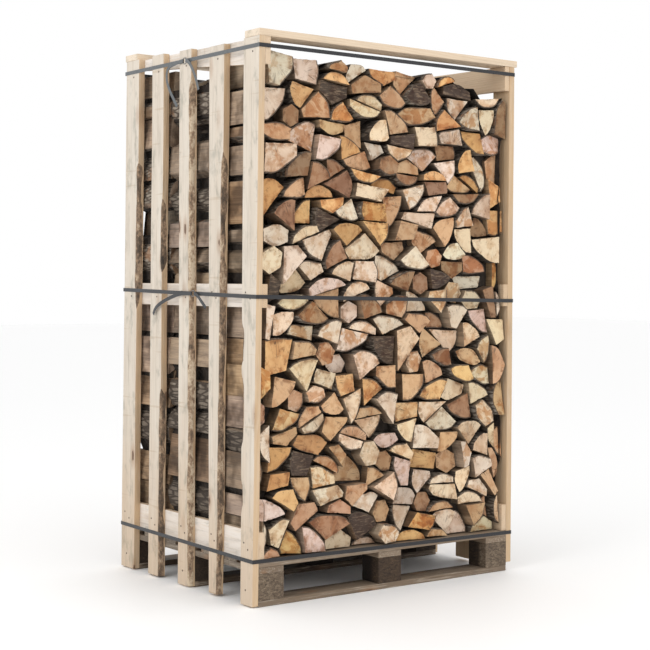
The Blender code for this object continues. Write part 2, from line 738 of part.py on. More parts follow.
def middle_row(name, logs):
    """The hidden row: a prism whose sides and top have the outermost logs' forms."""
    places, kept = row_plan(logs)
    contour = straightened([places[v] for v in rim_loop(kept)])
    work = bmesh.new()
    end = ROW_SPLIT - GAP
    front, back = ([work.verts.new((x, y, z)) for x, z in contour] for y in (-end, end))
    work.faces.new(front)
    work.faces.new(back)
    for k in range(len(contour)):
        work.faces.new((front[k - 1], front[k], back[k], back[k - 1]))
    return add_object(name, work, material("firewood", LOG_WOOD, 0.8))


def log_faces(logs, seed, facing):
    """Where each log of a row ends: most near the row's face, a few pushed in. The stack has
    followed the racked left panel forward, and less so towards the right one."""
    rng = np.random.default_rng(seed)
    spread = np.clip(rng.normal(0, 0.0075, len(logs)), -0.0125, 0.018)
    pushed = np.where(rng.random(len(logs)) < 0.06, rng.uniform(0.008, 0.022, len(logs)), 0)
    x, z = np.array([o.mean(0) for o in logs]).T
    followed = LEAN * z / PANEL_TOP * (0.5 - x / (2 * STACK_SIDE))
    return -ROW_FACE + spread + pushed + facing * followed


def firewood():
    front = settled_logs(7, 1.075)
    back = settled_logs(11, 1.25)
    log_row("firewood_front", front, log_faces(front, 21, -1), -1)
    log_row("firewood_back", back, log_faces(back, 22, 1), 1)
    mirrored = [(o * (-1, 1))[::-1] for o in back]
    middle_row("firewood_middle", mirrored)


clear_scene()
pallet()
side_panels()
top_boards()
straps()
firewood()
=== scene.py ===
import math

import bpy
import numpy as np
from mathutils import Matrix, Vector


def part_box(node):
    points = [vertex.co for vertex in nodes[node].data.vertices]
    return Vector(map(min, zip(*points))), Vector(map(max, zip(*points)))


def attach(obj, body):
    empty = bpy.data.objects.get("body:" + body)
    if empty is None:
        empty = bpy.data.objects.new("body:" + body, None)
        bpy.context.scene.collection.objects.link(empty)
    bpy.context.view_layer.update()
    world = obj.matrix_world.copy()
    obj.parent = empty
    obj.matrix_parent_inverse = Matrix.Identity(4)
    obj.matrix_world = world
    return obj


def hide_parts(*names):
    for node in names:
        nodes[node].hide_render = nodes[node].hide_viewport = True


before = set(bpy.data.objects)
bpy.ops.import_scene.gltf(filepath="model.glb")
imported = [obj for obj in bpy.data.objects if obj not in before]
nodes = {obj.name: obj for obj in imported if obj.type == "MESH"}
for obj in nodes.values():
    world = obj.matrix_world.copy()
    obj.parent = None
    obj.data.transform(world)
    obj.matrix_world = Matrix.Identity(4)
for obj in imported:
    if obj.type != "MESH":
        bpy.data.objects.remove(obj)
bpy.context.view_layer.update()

fullTurn = 6.2832    # in radians, for the waves in the finishes


# A Wire wraps a socket, and Python's operators on it add Math nodes.
class Wire:
    tree = None

    def __init__(self, value):
        self.value = value

    def maths(self, operation, *others):
        made = Wire.tree.nodes.new("ShaderNodeMath")
        made.operation = operation
        for plug, value in zip(made.inputs, (self, *others)):
            connect(plug, value)
        return Wire(made.outputs[0])

    def __add__(self, other):
        return self.maths("ADD", other)

    def __sub__(self, other):
        return self.maths("SUBTRACT", other)

    def __rsub__(self, other):
        return Wire(other).maths("SUBTRACT", self)

    def __mul__(self, other):
        return self.maths("MULTIPLY", other)

    def __pow__(self, other):
        return self.maths("POWER", other)

    __radd__ = __add__
    __rmul__ = __mul__

    def step(self, low, high):
        # 0 below low, 1 above high, smooth between.
        ramp = node("ShaderNodeMapRange", {"interpolation_type": "SMOOTHSTEP"},
                    {"Value": self, "From Min": low, "From Max": high})
        return ramp["Result"]


class Outputs(dict):
    def __missing__(self, key):
        raise KeyError(f"no output named {key}, only {list(self)}")


def connect(plug, value):
    if isinstance(value, Wire):
        value = value.value
    if isinstance(value, bpy.types.NodeSocket):
        Wire.tree.links.new(value, plug)
    elif isinstance(value, tuple) and len(value) == 3 and plug.type == "RGBA":
        plug.default_value = (*value, 1.0)
    else:
        plug.default_value = value


def node(kind, settings=None, inputs=None, stops=None):
    # One node: its type, its settings, then the values or links of its sockets.
    made = Wire.tree.nodes.new(kind)
    for name, value in (settings or {}).items():
        setattr(made, name, value)
    if stops:
        elements = made.color_ramp.elements
        while len(elements) < len(stops):
            elements.new(1.0)
        for element, (place, colour) in zip(elements, stops):
            element.position = place
            element.color = (*colour, 1.0)
    for name, value in (inputs or {}).items():
        named = [s for s in made.inputs if s.name == name and s.enabled]
        connect(named[0] if named else made.inputs[name], value)
    return Outputs({s.name: Wire(s) for s in made.outputs if s.enabled})


# Meshes. A grid is an array of points (rings, around, 3); its quads join ring to ring.
def gridQuads(rings, around, start=0):
    # Quads of a tube of rings whose points run round, each ring closed on itself.
    ring, spot = np.meshgrid(np.arange(rings - 1), np.arange(around), indexing="ij")
    here = ring * around + spot
    side = ring * around + (spot + 1) % around
    return np.stack([here, side, side + around, here + around], -1).reshape(-1, 4) + start


class Pieces:
    # Collects points, faces, finishes and attributes of many like shapes into one mesh.

    def __init__(self):
        self.points, self.quads, self.triangles, self.quadFinish, self.triangleFinish = [], [], [], [], []
        self.fields = {}
        self.count = 0

    def add(self, points, quads, triangles, quadFinish, triangleFinish, **fields):
        self.points.append(points)
        self.quads.append(quads + self.count)
        self.triangles.append(triangles + self.count)
        self.quadFinish.append(np.broadcast_to(quadFinish, len(quads)))
        self.triangleFinish.append(np.broadcast_to(triangleFinish, len(triangles)))
        for name, values in fields.items():
            wide = np.shape(values)[-1:] if np.ndim(values) and np.shape(values)[-1] == 3 else ()
            self.fields.setdefault(name, []).append(np.broadcast_to(values, (len(points), *wide)))
        self.count += len(points)

    def piece(self, name, finishes, slotName, replaced=(), sharpAngle=38):
        points = np.concatenate(self.points)
        faces = np.concatenate(self.quads).tolist() + np.concatenate(self.triangles).tolist()
        mesh = bpy.data.meshes.new(name)
        mesh.from_pydata(points.tolist(), [], faces)
        for finish in finishes:
            mesh.materials.append(finish)
        which = np.concatenate(self.quadFinish + self.triangleFinish).astype(np.int32)
        mesh.polygons.foreach_set("material_index", which)
        for field, values in self.fields.items():
            values = np.concatenate(values).astype(np.float32)
            kind = "FLOAT_VECTOR" if values.ndim == 2 else "FLOAT"
            made = mesh.attributes.new(field, kind, "POINT")
            made.data.foreach_set("vector" if values.ndim == 2 else "value", values.ravel())
        mesh.update()
        mesh.shade_smooth()
        mesh.set_sharp_from_angle(angle=math.radians(sharpAngle))
        made = bpy.data.objects.new(name, mesh)
        bpy.context.scene.collection.objects.link(made)
        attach(made, "root")
        if replaced:
            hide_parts(*replaced)
        print(name, len(mesh.polygons), "faces")
        return made


def mergedMesh(name):
    # A frame node's points without doubles, and its triangles by their numbers.
    mesh = nodes[name].data
    points = np.empty(len(mesh.vertices) * 3)
    mesh.vertices.foreach_get("co", points)
    mesh.calc_loop_triangles()
    triangles = np.empty(len(mesh.loop_triangles) * 3, np.int32)
    mesh.loop_triangles.foreach_get("vertices", triangles)
    points = points.reshape(-1, 3)
    _, first, number = np.unique(np.round(points, 5), axis=0, return_index=True, return_inverse=True)
    return points[first], number.reshape(-1)[triangles].reshape(-1, 3)


def wobble(values, seed, octaves=3):
    # Smooth noise of one parameter: a sum of sines of rising pitch with random phases.
    rng = np.random.default_rng(seed)
    total = np.zeros(np.shape(values))
    for k in range(octaves):
        total = total + np.sin(values * rng.uniform(1.6, 2.4) ** (k + 1) + rng.uniform(0, 6.3)) / 1.5 ** k
    return total / octaves


# Logs. The outlines come from the frame's rows of firewood.
logLook = {
    "cornerRadius": 0.0026,     # rounding of split corners
    "reachFrom": 0.48,          # an outermost log that reaches this far in X is drawn out to a rail or slat
    "reachRail": 0.566,
    "reachSlat": 0.588,
    "softTurn": 52,             # a corner that turns less lies on the log's round side, in degrees
    "longestStep": 0.006,       # between points round the outline
    "splitRelief": 0.0009,      # depth of the fibre ridges on split sides
    "tear": 0.0022,             # how far a torn edge strays inwards
    "chip": 0.0030,             # depth of a chip broken off the end's edge
    "deeper": 0.034,            # the most that a log is pushed in past its solid's end
    "barkRelief": 0.0016,       # depth of the bark's furrows
    "endTilt": 0.060,           # slope of the saw cut
    "pushedShare": 0.45,        # of the logs, how many are pushed in
    "darkApart": 0.17,          # least distance between two dark ends
    "rowInside": 0.1593,        # where the logs of the front and back rows end inside
    "middleEnds": 0.1585,       # where the logs of the middle row end
    "shownFromX": 0.46,         # logs of the middle row further out or higher than this are shown
    "shownFromZ": 1.78,
    "heartShare": 0.962,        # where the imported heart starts, as a share of the first log's depth
    "seed": 4,
}


def logOutlines(name, facing):
    # Outlines (x, z) and depths of the log ends in a row: the patches of the row's mesh that face out.
    points, triangles = mergedMesh(name)
    a, b, c = (points[triangles[:, k]] for k in range(3))
    normal = np.cross(b - a, c - a)
    flat = (normal[:, 1] * facing > 0.99 * np.linalg.norm(normal, axis=1)) & (np.ptp(
        points[triangles][:, :, 1], axis=1) < 1e-6)
    triangles = triangles[flat]
    depths = np.round(points[triangles[:, 0], 1], 4)
    _, number, counts = np.unique(depths, return_inverse=True, return_counts=True)
    between = number.ravel() == counts.argmax()    # the gaps between the logs share one depth
    heart = points, triangles[between]
    triangles = triangles[~between]
    label = np.arange(len(points))
    for _ in range(40):
        lowest = label[triangles].min(1)
        np.minimum.at(label, triangles.ravel(), np.repeat(lowest, 3))
    found = []
    owners = label[triangles[:, 0]]
    for owner in np.unique(owners):
        mine = triangles[owners == owner]
        edges = np.concatenate([mine[:, [0, 1]], mine[:, [1, 2]], mine[:, [2, 0]]])
        forward = {tuple(e) for e in edges.tolist()}
        following = {i: j for i, j in forward if (j, i) not in forward}
        loop = [next(iter(following))]
        while following[loop[-1]] != loop[0]:
            loop.append(following[loop[-1]])
        outline = points[loop][:, [0, 2]]
        if facing > 0:
            outline = outline[::-1]
        before, after = outline - np.roll(outline, 1, 0), np.roll(outline, -1, 0) - outline
        cross = before[:, 0] * after[:, 1] - before[:, 1] * after[:, 0]
        straight = np.abs(cross) < 0.03 * np.hypot(*before.T) * np.hypot(*after.T)
        found.append((outline[~straight], points[loop[0], 1]))
    return found, heart


def reaching(logs, most):
    # The outermost logs are drawn out in X, by at most so much, until they nearly meet the slats, or
    # the rail that they are level with.
    lows = np.array([outline[:, 1].min() for outline, _ in logs])
    highs = np.array([outline[:, 1].max() for outline, _ in logs])
    rails = [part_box(f"{side}_rail_{place}") for side in ("left", "right") for place in ("bottom", "middle",
                                                                                        "top")]
    drawn = list(logs)
    for side in (-1, 1):
        reach = np.array([(side * outline[:, 0]).max() for outline, _ in logs])
        for k in np.flatnonzero(reach > logLook["reachFrom"]):
            outline, face = logs[k]
            shared = np.minimum(highs, highs[k]) - np.maximum(lows, lows[k])
            if ((shared > 0.35 * (highs[k] - lows[k])) & (reach > reach[k])).any():
                continue
            level = any(lows[k] < high[2] + 0.004 and highs[k] > low[2] - 0.004 for low, high in rails)
            limit = min(logLook["reachRail" if level else "reachSlat"], reach[k] + most)
            inner = (side * outline[:, 0]).min()
            wide = inner + (side * outline[:, 0] - inner) * max(limit - inner,
                                                                reach[k] - inner) / (reach[k] - inner)
            drawn[k] = np.stack([side * wide, outline[:, 1]], 1), face
    return drawn


def rounded(outline):
    # The outline as a smooth ring, and how much of each point is round log side (1) or split (0).
    # A soft corner becomes a parabola between the middles of its edges, a sharp one a small fillet.
    before, after = outline - np.roll(outline, 1, 0), np.roll(outline, -1, 0) - outline
    la, lb = np.hypot(*before.T), np.hypot(*after.T)
    turn = np.degrees(np.arccos(np.clip((before * after).sum(1) / la / lb, -1, 1)))
    soft = turn < logLook["softTurn"]
    radius = logLook["cornerRadius"]
    start = outline - before / la[:, None] * np.where(soft, la / 2, np.minimum(radius, la / 3))[:, None]
    end = outline + after / lb[:, None] * np.where(soft, lb / 2, np.minimum(radius, lb / 3))[:, None]
    softBefore, softAfter = np.roll(soft, 1) | soft, np.roll(soft, -1) | soft
    ring, bark = [], []
    for k in range(len(outline)):
        t = np.linspace(0, 1, 7 if soft[k] else 4)[:, None]
        ring.append(start[k] * (1 - t) ** 2 + 2 * outline[k] * t * (1 - t) + end[k] * t ** 2)
        bark.append(np.where(t[:, 0] < 0.5, softBefore[k], softAfter[k]).astype(float))
        there = start[(k + 1) % len(outline)]
        steps = int(np.hypot(*(there - end[k])) / logLook["longestStep"])
        if steps > 0:
            share = (np.arange(steps) + 1)[:, None] / (steps + 1)
            ring.append(end[k] + (there - end[k]) * share)
            bark.append(np.full(steps, float(softAfter[k])))
    ring, bark = np.concatenate(ring), np.concatenate(bark)
    fresh = np.hypot(*(np.roll(ring, -1, 0) - ring).T) > 1e-5
    return ring[fresh], bark[fresh], soft


def pithOf(outline, soft):
    # Centre of the growth rings: of the circle that fits the round side, or the middle.
    arc = outline[soft | np.roll(soft, 1) | np.roll(soft, -1)]
    middle = outline.mean(0)
    if soft.all() or len(arc) < 3:
        return middle
    system = np.column_stack([2 * arc, np.ones(len(arc))])
    centre = np.linalg.lstsq(system, (arc ** 2).sum(1), rcond=None)[0][:2]
    away = centre - middle
    far = np.hypot(*away)
    return middle + away * min(1.0, 0.16 / max(far, 1e-6))


def logShape(outline, face, back, rng):
    # One log. Its side is the outline carried along Y, with ridges that run along the grain and
    # fade in and out; its sawn end is the outline drawn in towards its middle in steps, tilted a little.
    ring, bark, soft = rounded(outline)
    n = len(ring)
    middle = ring.mean(0)
    inward = middle - ring
    reach = np.hypot(*inward.T)[:, None]
    inward = inward / reach
    facing = np.sign(face)
    length = abs(face - back)
    depths = np.array([0, 0.0008, 0.0035, 0.012, 0.03, 0.06, 0.11, 0.18, length])
    travel = np.cumsum(np.hypot(*(ring - np.roll(ring, 1, 0)).T))
    seeds = rng.integers(1, 10 ** 6, 6)
    torn = 0.5 + 0.5 * wobble(travel * 95, seeds[4], 4)
    if rng.random() < 0.3:
        torn = torn + 1.6 * np.clip(wobble(travel * 70, seeds[4] + 1, 4), 0, 1)
    chipped = np.clip(wobble(travel * 60, seeds[5], 2) - 0.55, 0, 1) * 2.2
    ridge = 0.5 + 0.5 * np.sin(travel * rng.uniform(380, 520) + 2.5 * wobble(travel * 40, seeds[0]))
    lump = 0.5 + 0.5 * wobble(travel * 45, seeds[1])
    along = 0.5 + 0.5 * wobble(depths[:, None] * 16 + travel[None] * 12, seeds[2])
    relief = bark * logLook["barkRelief"] * ridge + (1 - bark) * logLook["splitRelief"] * lump
    sink = relief[None] * (0.35 + 0.65 * along) + (logLook["tear"] * (1 - 0.5 * bark) * torn)[None]
    sink = sink + (logLook["chip"] * chipped)[None] * np.exp(-depths / 0.05)[:, None]
    sink[0] += 0.0007
    sink[1] += 0.0002
    rings = ring[None] + inward[None] * sink[:, :, None]
    tilt = np.clip(rng.normal(0, logLook["endTilt"], 2), -0.12, 0.12)
    slope = (ring - middle) @ tilt
    face = face - facing * slope.max()
    ragged = 0.0007 * wobble(travel * 210, seeds[3])
    shift = (slope[None] + ragged[None]) * np.exp(-depths / 0.02)[:, None]
    y = face - facing * (depths[:, None] - shift)
    side = np.stack([rings[..., 0], y, rings[..., 1]], -1)
    capIn = np.concatenate([np.minimum(np.array([0.0025, 0.0065])[:, None], 0.85 * reach.T),
                            np.array([0.32, 0.66])[:, None] * reach.T])
    cap = rings[0][None] + inward[None] * capIn[:, :, None]
    capSlope = (cap - middle) @ tilt
    capY = face + facing * (capSlope + 0.0003)
    capPoints = np.stack([cap[..., 0], capY, cap[..., 1]], -1)
    points = np.concatenate([capPoints[::-1].reshape(-1, 3), side.reshape(-1, 3),
                             [[middle[0], face, middle[1]], [middle[0], back, middle[1]]]])
    capRings, sideRings = len(capIn), len(depths)
    quads = gridQuads(capRings + sideRings, n)
    spot = np.arange(n)
    last = (capRings + sideRings - 1) * n
    front = np.stack([np.full(n, len(points) - 2), (spot + 1) % n, spot], 1)
    behind = np.stack([np.full(n, len(points) - 1), last + spot, last + (spot + 1) % n], 1)
    onSide = np.tile(np.where((bark + np.roll(bark, -1)) > 1, 2, 1), sideRings - 1)
    finish = np.concatenate([np.zeros(capRings * n, int), onSide])
    if facing > 0:
        quads, front, behind = quads[:, ::-1], front[:, ::-1], behind[:, ::-1]
    barkNear = np.concatenate([np.outer([0, 0, 0.15, 1.0], bark).ravel(), np.tile(bark, sideRings), [0, 0]])
    edgeNear = np.concatenate([np.repeat([0.0, 0.45, 1.0, 1.0], n), np.ones(sideRings * n), [0, 0]])
    pith = pithOf(outline, soft)
    fromPith = np.stack([points[:, 0] - pith[0], points[:, 1], points[:, 2] - pith[1]], 1)
    return points, quads, np.concatenate([front, behind]), finish, barkNear, edgeNear, fromPith


def heartWall(logs, near, far):
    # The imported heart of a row: up its left side, over its top and down its right, through the middles
    # of the outermost logs, carried along Y from near to far, with lumps from smooth noise.
    lows = np.array([outline.min(0) for outline, _ in logs])
    highs = np.array([outline.max(0) for outline, _ in logs])
    middles = np.array([outline.mean(0) for outline, _ in logs])
    outer = {-1: 0.6 * middles + 0.4 * lows, 1: 0.6 * middles + 0.4 * highs}
    path = []
    for axis, sign, places in ((1, -1, np.linspace(0.20, 1.88, 43)), (0, 1, np.linspace(-0.54, 0.54, 28)),
                               (1, 1, np.linspace(1.88, 0.20, 43))):
        for at in places:
            there = outer[sign][(lows[:, axis] < at + 0.015) & (highs[:, axis] > at - 0.015), 1 - axis]
            if len(there):
                edge = sign * (sign * there).max()
                path.append((edge, at) if axis else (at, edge))
    path = np.array(path)
    stations = 9
    y = np.linspace(near, far, stations)
    lump = 1 + 0.003 * wobble(np.arange(len(path))[:, None] * 1.9 + y[None] * 31, 5)
    x, z = path[:, :1] * lump, 1.0 + (path[:, 1:] - 1.0) * lump
    points = np.stack([x, np.broadcast_to(y, x.shape), z], -1)
    row, spot = np.meshgrid(np.arange(len(path) - 1), np.arange(stations - 1), indexing="ij")
    here = row * stations + spot
    quads = np.stack([here, here + 1, here + stations + 1, here + stations], -1).reshape(-1, 4)
    return points.reshape(-1, 3), quads


def logPile(name, logs, back, finishes, replaced, rng, heart=None, everyone=None):
    # Each log's outline becomes a log with a tone, a mood and an end colour drawn by their shares.
    pile = Pieces()
    dark = {"tone": 0.1, "mood": 0.2, "barkNear": 0.0, "edgeNear": 0.0, "tint": np.array([0.05, 0.04, 0.03])}
    if heart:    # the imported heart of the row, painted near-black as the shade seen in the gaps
        points, triangles = heart
        used, triangles = np.unique(triangles, return_inverse=True)
        pile.add(points[used], np.zeros((0, 4), int), triangles.reshape(-1, 3), 3, 3, fromPith=points[used],
                 **dark)
    if everyone:
        points, quads = heartWall(everyone, logLook["heartShare"] * everyone[0][1], back)
        pile.add(points, quads, np.zeros((0, 3), int), 3, 3, fromPith=points, **dark)
    darkOnes = []
    for outline, face in logs:
        if rng.random() < logLook["pushedShare"]:
            face = face - np.sign(face) * logLook["deeper"] * rng.random() ** 1.3
        points, quads, triangles, finish, barkNear, edgeNear, fromPith = logShape(outline, face, back, rng)
        ends = np.repeat([0, 1], len(triangles) // 2)
        tints = list(logColours["tints"].values())
        middle = outline.mean(0)
        share = np.array([tint[1 + (middle[1] > logColours["upperFrom"])] for tint in tints])
        if any(np.hypot(*(middle - other)) < logLook["darkApart"] for other in darkOnes):
            share[-1] = 0.0
        choice = rng.choice(len(tints), p=share / share.sum())
        if choice == len(tints) - 1:
            darkOnes.append(middle)
        tint = np.array(tints[choice][0])
        tint = tint * (1 + rng.normal(0, 0.07)) * (1 + rng.normal(0, 0.03, 3))
        pile.add(points, quads, triangles, finish, ends, tone=rng.random(), mood=rng.random(),
                 barkNear=barkNear, edgeNear=edgeNear, fromPith=fromPith, tint=np.clip(tint, 0.02, 0.9))
    return pile.piece(name, finishes, "firewood", replaced)


# Sawn boards: a rounded section carried along the node's longest side.
waneLook = {
    # Waney edges: which edge of the slat, the stretches of height, how far in from the face and the
    # edge, and how light the bark is.
    "left_slat_1": ("front", ((1.04, 1.62),), 0.016, 0.024, 0.50),
    "left_slat_2": ("front", ((1.18, 1.47), (-0.1, 0.74)), 0.010, 0.024, 0.35),
    "left_slat_3": ("front", ((-0.1, 1.90),), 0.018, 0.024, 0.85),
    "left_slat_4": ("front", ((-0.1, 1.61),), 0.011, 0.024, 0.48),
    "left_slat_5": ("back", ((0.33, 0.45), (0.56, 0.82), (0.85, 1.01)), 0.018, 0.022, 0.30),
    "right_slat_2": ("back", ((0.2, 1.1),), 0.015, 0.022, 0.50),
    "right_slat_4": ("front", ((0.9, 1.7),), 0.014, 0.022, 0.60),
}

boardLook = {
    "edgeRadius": 0.0016,
    "step": 0.022,          # between sections along a board
    "wander": 0.0006,       # how far a sawn face strays inwards
    "barkStray": 0.0024,    # and how far a waney edge does
    "ringWidth": 0.0062,    # between growth rings
}


def boardSections(name):
    # The board's long axis, its stations there, and at each the four corners of the section, in
    # order low-low, high-low, high-high, low-high along its two other axes.
    points, _ = mergedMesh(name)
    axis = int(np.argmax(np.ptp(points, axis=0)))
    p, q = ((1, 2), (2, 0), (0, 1))[axis]
    at = points[:, axis]
    first, last = (points[np.abs(at - end) < 1e-4].mean(0) for end in (at.min(), at.max()))
    share = (at - at.min())[:, None] / np.ptp(at)
    away = points - (first + (last - first) * share)
    quarter = np.where(away[:, q] < 0, np.where(away[:, p] < 0, 0, 1), np.where(away[:, p] < 0, 3, 2))
    stations = np.unique(np.round(at, 4))
    lines = []
    for k in range(4):
        line = points[quarter == k]
        line = line[np.argsort(line[:, axis])]
        lines.append(np.stack([np.interp(stations, line[:, axis], line[:, d]) for d in range(3)], 1))
    return axis, p, q, np.stack(lines, 1)


def boardShape(name, rng, radii=None):
    # A board between its node's sections. Round the section each corner is a quarter ellipse,
    # whose two radii may vary along the board, as on a waney edge, and the flat stretches between
    # have points of their own; faces stray inwards by smooth noise.
    axis, p, q, section = boardSections(name)
    stations = section[:, :, axis].mean(1)
    length = stations[-1] - stations[0]
    count = max(int(length / boardLook["step"]), 4) + 1
    share = np.linspace(0, 1, count)
    end = boardLook["edgeRadius"]
    rims = [0.4 * end / length, end / length, 1 - end / length, 1 - 0.4 * end / length]
    share = np.unique(np.concatenate([share, rims]))
    at = stations[0] + length * share
    corner = np.stack([[np.interp(at, stations, section[:, k, d]) for d in range(3)] for k in range(4)])
    corner = corner.transpose(2, 0, 1)
    if radii is None:
        radii = {}
    quarter = np.linspace(0, math.pi / 2, 5)
    rings, side = [], []
    nextIn = np.roll(corner, -1, 1) - corner
    nextLong = np.linalg.norm(nextIn, axis=2, keepdims=True)
    lastIn = np.roll(corner, 1, 1) - corner
    lastLong = np.linalg.norm(lastIn, axis=2, keepdims=True)
    swell = {k: radii.get(k, (None, None)) for k in range(4)}
    sizes = []
    for k in range(4):
        base = np.full(len(at), end)
        a = base if swell[k][0] is None else base + swell[k][0](at)
        b = base if swell[k][1] is None else base + swell[k][1](at)
        sizes.append((a, b))
    for k in range(4):
        a, b = sizes[k]
        unitNext, unitLast = nextIn[:, k] / nextLong[:, k], lastIn[:, k] / lastLong[:, k]
        c, s = np.cos(quarter), np.sin(quarter)
        inNext = a[:, None] * (1 - s)[None]
        inLast = b[:, None] * (1 - c)[None]
        arc = corner[:, k, None] + unitNext[:, None] * inNext[..., None] + unitLast[:, None] * inLast[...,
                                                                                                      None]
        arc = arc[:, ::-1]
        rings.append(arc)
        waney = np.clip((a + b - 2 * end) / 0.008, 0, 1)
        side.append(waney[:, None] * np.array([0.45, 1, 1, 1, 0.45]))
        start, stop = arc[:, -1], corner[:, (k + 1) % 4] - unitNext * sizes[(k + 1) % 4][1][:, None]
        steps = max(int(nextLong[:, k].mean() / 0.016), 1)
        part = (np.arange(steps) + 1) / (steps + 1)
        rings.append(start[:, None] + (stop - start)[:, None] * part[None, :, None])
        side.append(np.zeros((len(at), steps)))
    ring = np.concatenate(rings, 1)
    waney = np.concatenate(side, 1)
    middle = corner.mean(1)[:, None]
    n = ring.shape[1]
    seeds = rng.integers(1, 10 ** 6, 3)
    around = np.arange(n)
    stray = 0.5 + 0.5 * wobble(at[:, None] * 7 + 1.4 * around[None], seeds[0])
    barkStray = 0.5 + 0.5 * wobble(at[:, None] * 55 + around[None], seeds[1])
    stray = stray * boardLook["wander"] + waney * boardLook["barkStray"] * barkStray
    inward = middle - ring
    inward[..., axis] = 0
    inward /= np.linalg.norm(inward, axis=2, keepdims=True)
    ring = ring + inward * stray[..., None]
    endIn = np.zeros(len(at))
    endIn[0] = endIn[-1] = 0.6 * end
    ring = ring + inward * endIn[:, None, None]
    capStart, capStop = ring[0], ring[-1]
    halfway = [cap + 0.5 * (cap.mean(0) - cap) for cap in (capStart, capStop)]
    stack = np.concatenate([halfway[0][None], ring, halfway[1][None]])
    points = np.concatenate([stack.reshape(-1, 3), [capStart.mean(0), capStop.mean(0)]])
    quads = gridQuads(len(stack), n)
    spot = np.arange(n)
    last = (len(stack) - 1) * n
    first = np.stack([np.full(n, len(points) - 2), (spot + 1) % n, spot], 1)
    final = np.stack([np.full(n, len(points) - 1), last + spot, last + (spot + 1) % n], 1)
    finish = np.zeros(len(quads), int)
    finish[:n] = finish[-n:] = 1
    outward = np.cross(points[quads[n, 1]] - points[quads[n, 0]], points[quads[n, 2]] - points[quads[n, 0]])
    if outward @ (points[quads[n]].mean(0) - corner.mean((0, 1))) < 0:
        quads, first, final = quads[:, ::-1], first[:, ::-1], final[:, ::-1]
    grain = points[:, [p, q, axis]] - corner.mean((0, 1))[[p, q, axis]]
    grain = grain + [0, 0, rng.uniform(0, 60)]
    pithAt = rng.uniform(-1, 1, 2)
    pithAt = pithAt / np.hypot(*pithAt) * rng.uniform(0.05, 0.12)
    waneyAll = np.concatenate([waney[:1].ravel(), waney.ravel(), waney[-1:].ravel(), [0, 0]])
    return points, quads, np.concatenate([first, final]), finish, grain - [*pithAt, 0], waneyAll


def waneOf(name):
    # Extra corner radii of a slat: within each stretch the wane swells and shrinks by smooth noise.
    if name not in waneLook:
        return None
    edge, stretches, intoFace, intoEdge, _ = waneLook[name]
    left = name.startswith("left")
    corner = {("front", True): 0, ("back", True): 3, ("front", False): 1, ("back", False): 2}[edge, left]
    seed = int(name[-1]) + 20 * left

    def amount(height):
        inside = sum(np.clip((height - low) / 0.035, 0, 1) * np.clip((high - height) / 0.035, 0, 1)
                     for low, high in stretches)
        swell = 0.60 + 0.40 * wobble(height * 6.0, seed) + 0.22 * wobble(height * 23.0, seed + 1)
        return inside * np.clip(swell, 0.10, 1.2)

    def face(height):
        return intoFace * amount(height)

    def edgeIn(height):
        return intoEdge * np.minimum(amount(height) * 1.3, 1.0)
    return {corner: (edgeIn, face) if corner in (0, 2) else (face, edgeIn)}


def boardPiece(name, finishes, slotName, rng, radii=None):
    points, quads, triangles, finish, grain, waney = boardShape(name, rng, radii)
    made = Pieces()
    barkTone = waneLook[name][4] if name in waneLook else 0.5
    made.add(points, quads, triangles, finish, 1, grain=grain, waney=waney, tone=rng.random(),
             mood=rng.random(),
             barkLight=barkTone)
    return made.piece("dressed_" + name, finishes, slotName, [name])


# Nail heads: a low dome turned round its axis, pressed a little into the board.
nailLook = {
    "radius": 0.0034,
    "height": 0.0008,
    "sides": 14,
    # Along the board's width from its front edge, and up from the rail's middle.
    "pair": ((0.42, -0.010), (0.74, 0.012)),
    "foot": (0.58, 0.058),
}


def nailHeads(places):
    # Each head's rings lie at radius times r and height times h over the face, for (r, h) down a dome.
    profile = np.array([(1.0, -0.6), (1.0, 0.35), (0.86, 0.8), (0.5, 1.0)])
    sides = nailLook["sides"]
    turn = np.arange(sides) * (2 * math.pi / sides)
    heads = Pieces()
    for at, outward, across in places:
        at, outward, across = (np.array(v, float) for v in (at, outward, across))
        other = np.cross(outward, across)
        spoke = across * np.cos(turn)[:, None] + other * np.sin(turn)[:, None]
        rings = spoke[None] * (profile[:, :1] * nailLook["radius"])[:, None]
        rings = rings + outward * (profile[:, 1:] * nailLook["height"])[:, None] + at
        points = np.concatenate([rings.reshape(-1, 3), [at + outward * nailLook["height"]]])
        spot = np.arange(sides)
        top = (len(profile) - 1) * sides
        cap = np.stack([top + spot, top + (spot + 1) % sides, np.full(sides, len(points) - 1)], 1)
        heads.add(points, gridQuads(len(profile), sides), cap, 0, 0)
    return heads


def slatNails():
    # A pair of nails where each slat crosses a rail, and one at the foot of every other slat.
    found = []
    for side in ("left", "right"):
        outward = (-1.0 if side == "left" else 1.0, 0.0, 0.0)
        pick = (0, 3) if side == "left" else (1, 2)
        heights = [np.mean([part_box(f"{side}_rail_{place}")[end][2] for end in (0, 1)])
                   for place in ("bottom", "middle", "top")]
        for k in range(1, 6):
            _, _, _, section = boardSections(f"{side}_slat_{k}")
            wanted = [(share, z + up) for z in heights for share, up in nailLook["pair"]]
            if k in (1, 3, 5):
                wanted.append(nailLook["foot"])
            for share, z in wanted:
                front, back = ([np.interp(z, section[:, c, 2],
                                          section[:, c, d]) for d in range(3)] for c in pick)
                at = np.array(front) * (1 - share) + np.array(back) * share
                found.append((at, outward, (0.0, -outward[0], 0.0)))
    return found


# Finishes. Each one wires its node tree by sums and products of noise.
def finishOf(name, roughness, metallic=0.0):
    made = bpy.data.materials.new(name)
    made.use_nodes = True
    Wire.tree = made.node_tree
    shader = made.node_tree.nodes["Principled BSDF"]
    shader.inputs["Roughness"].default_value = roughness
    shader.inputs["Metallic"].default_value = metallic
    return made, shader


def field(name):
    return node("ShaderNodeAttribute", {"attribute_name": name})


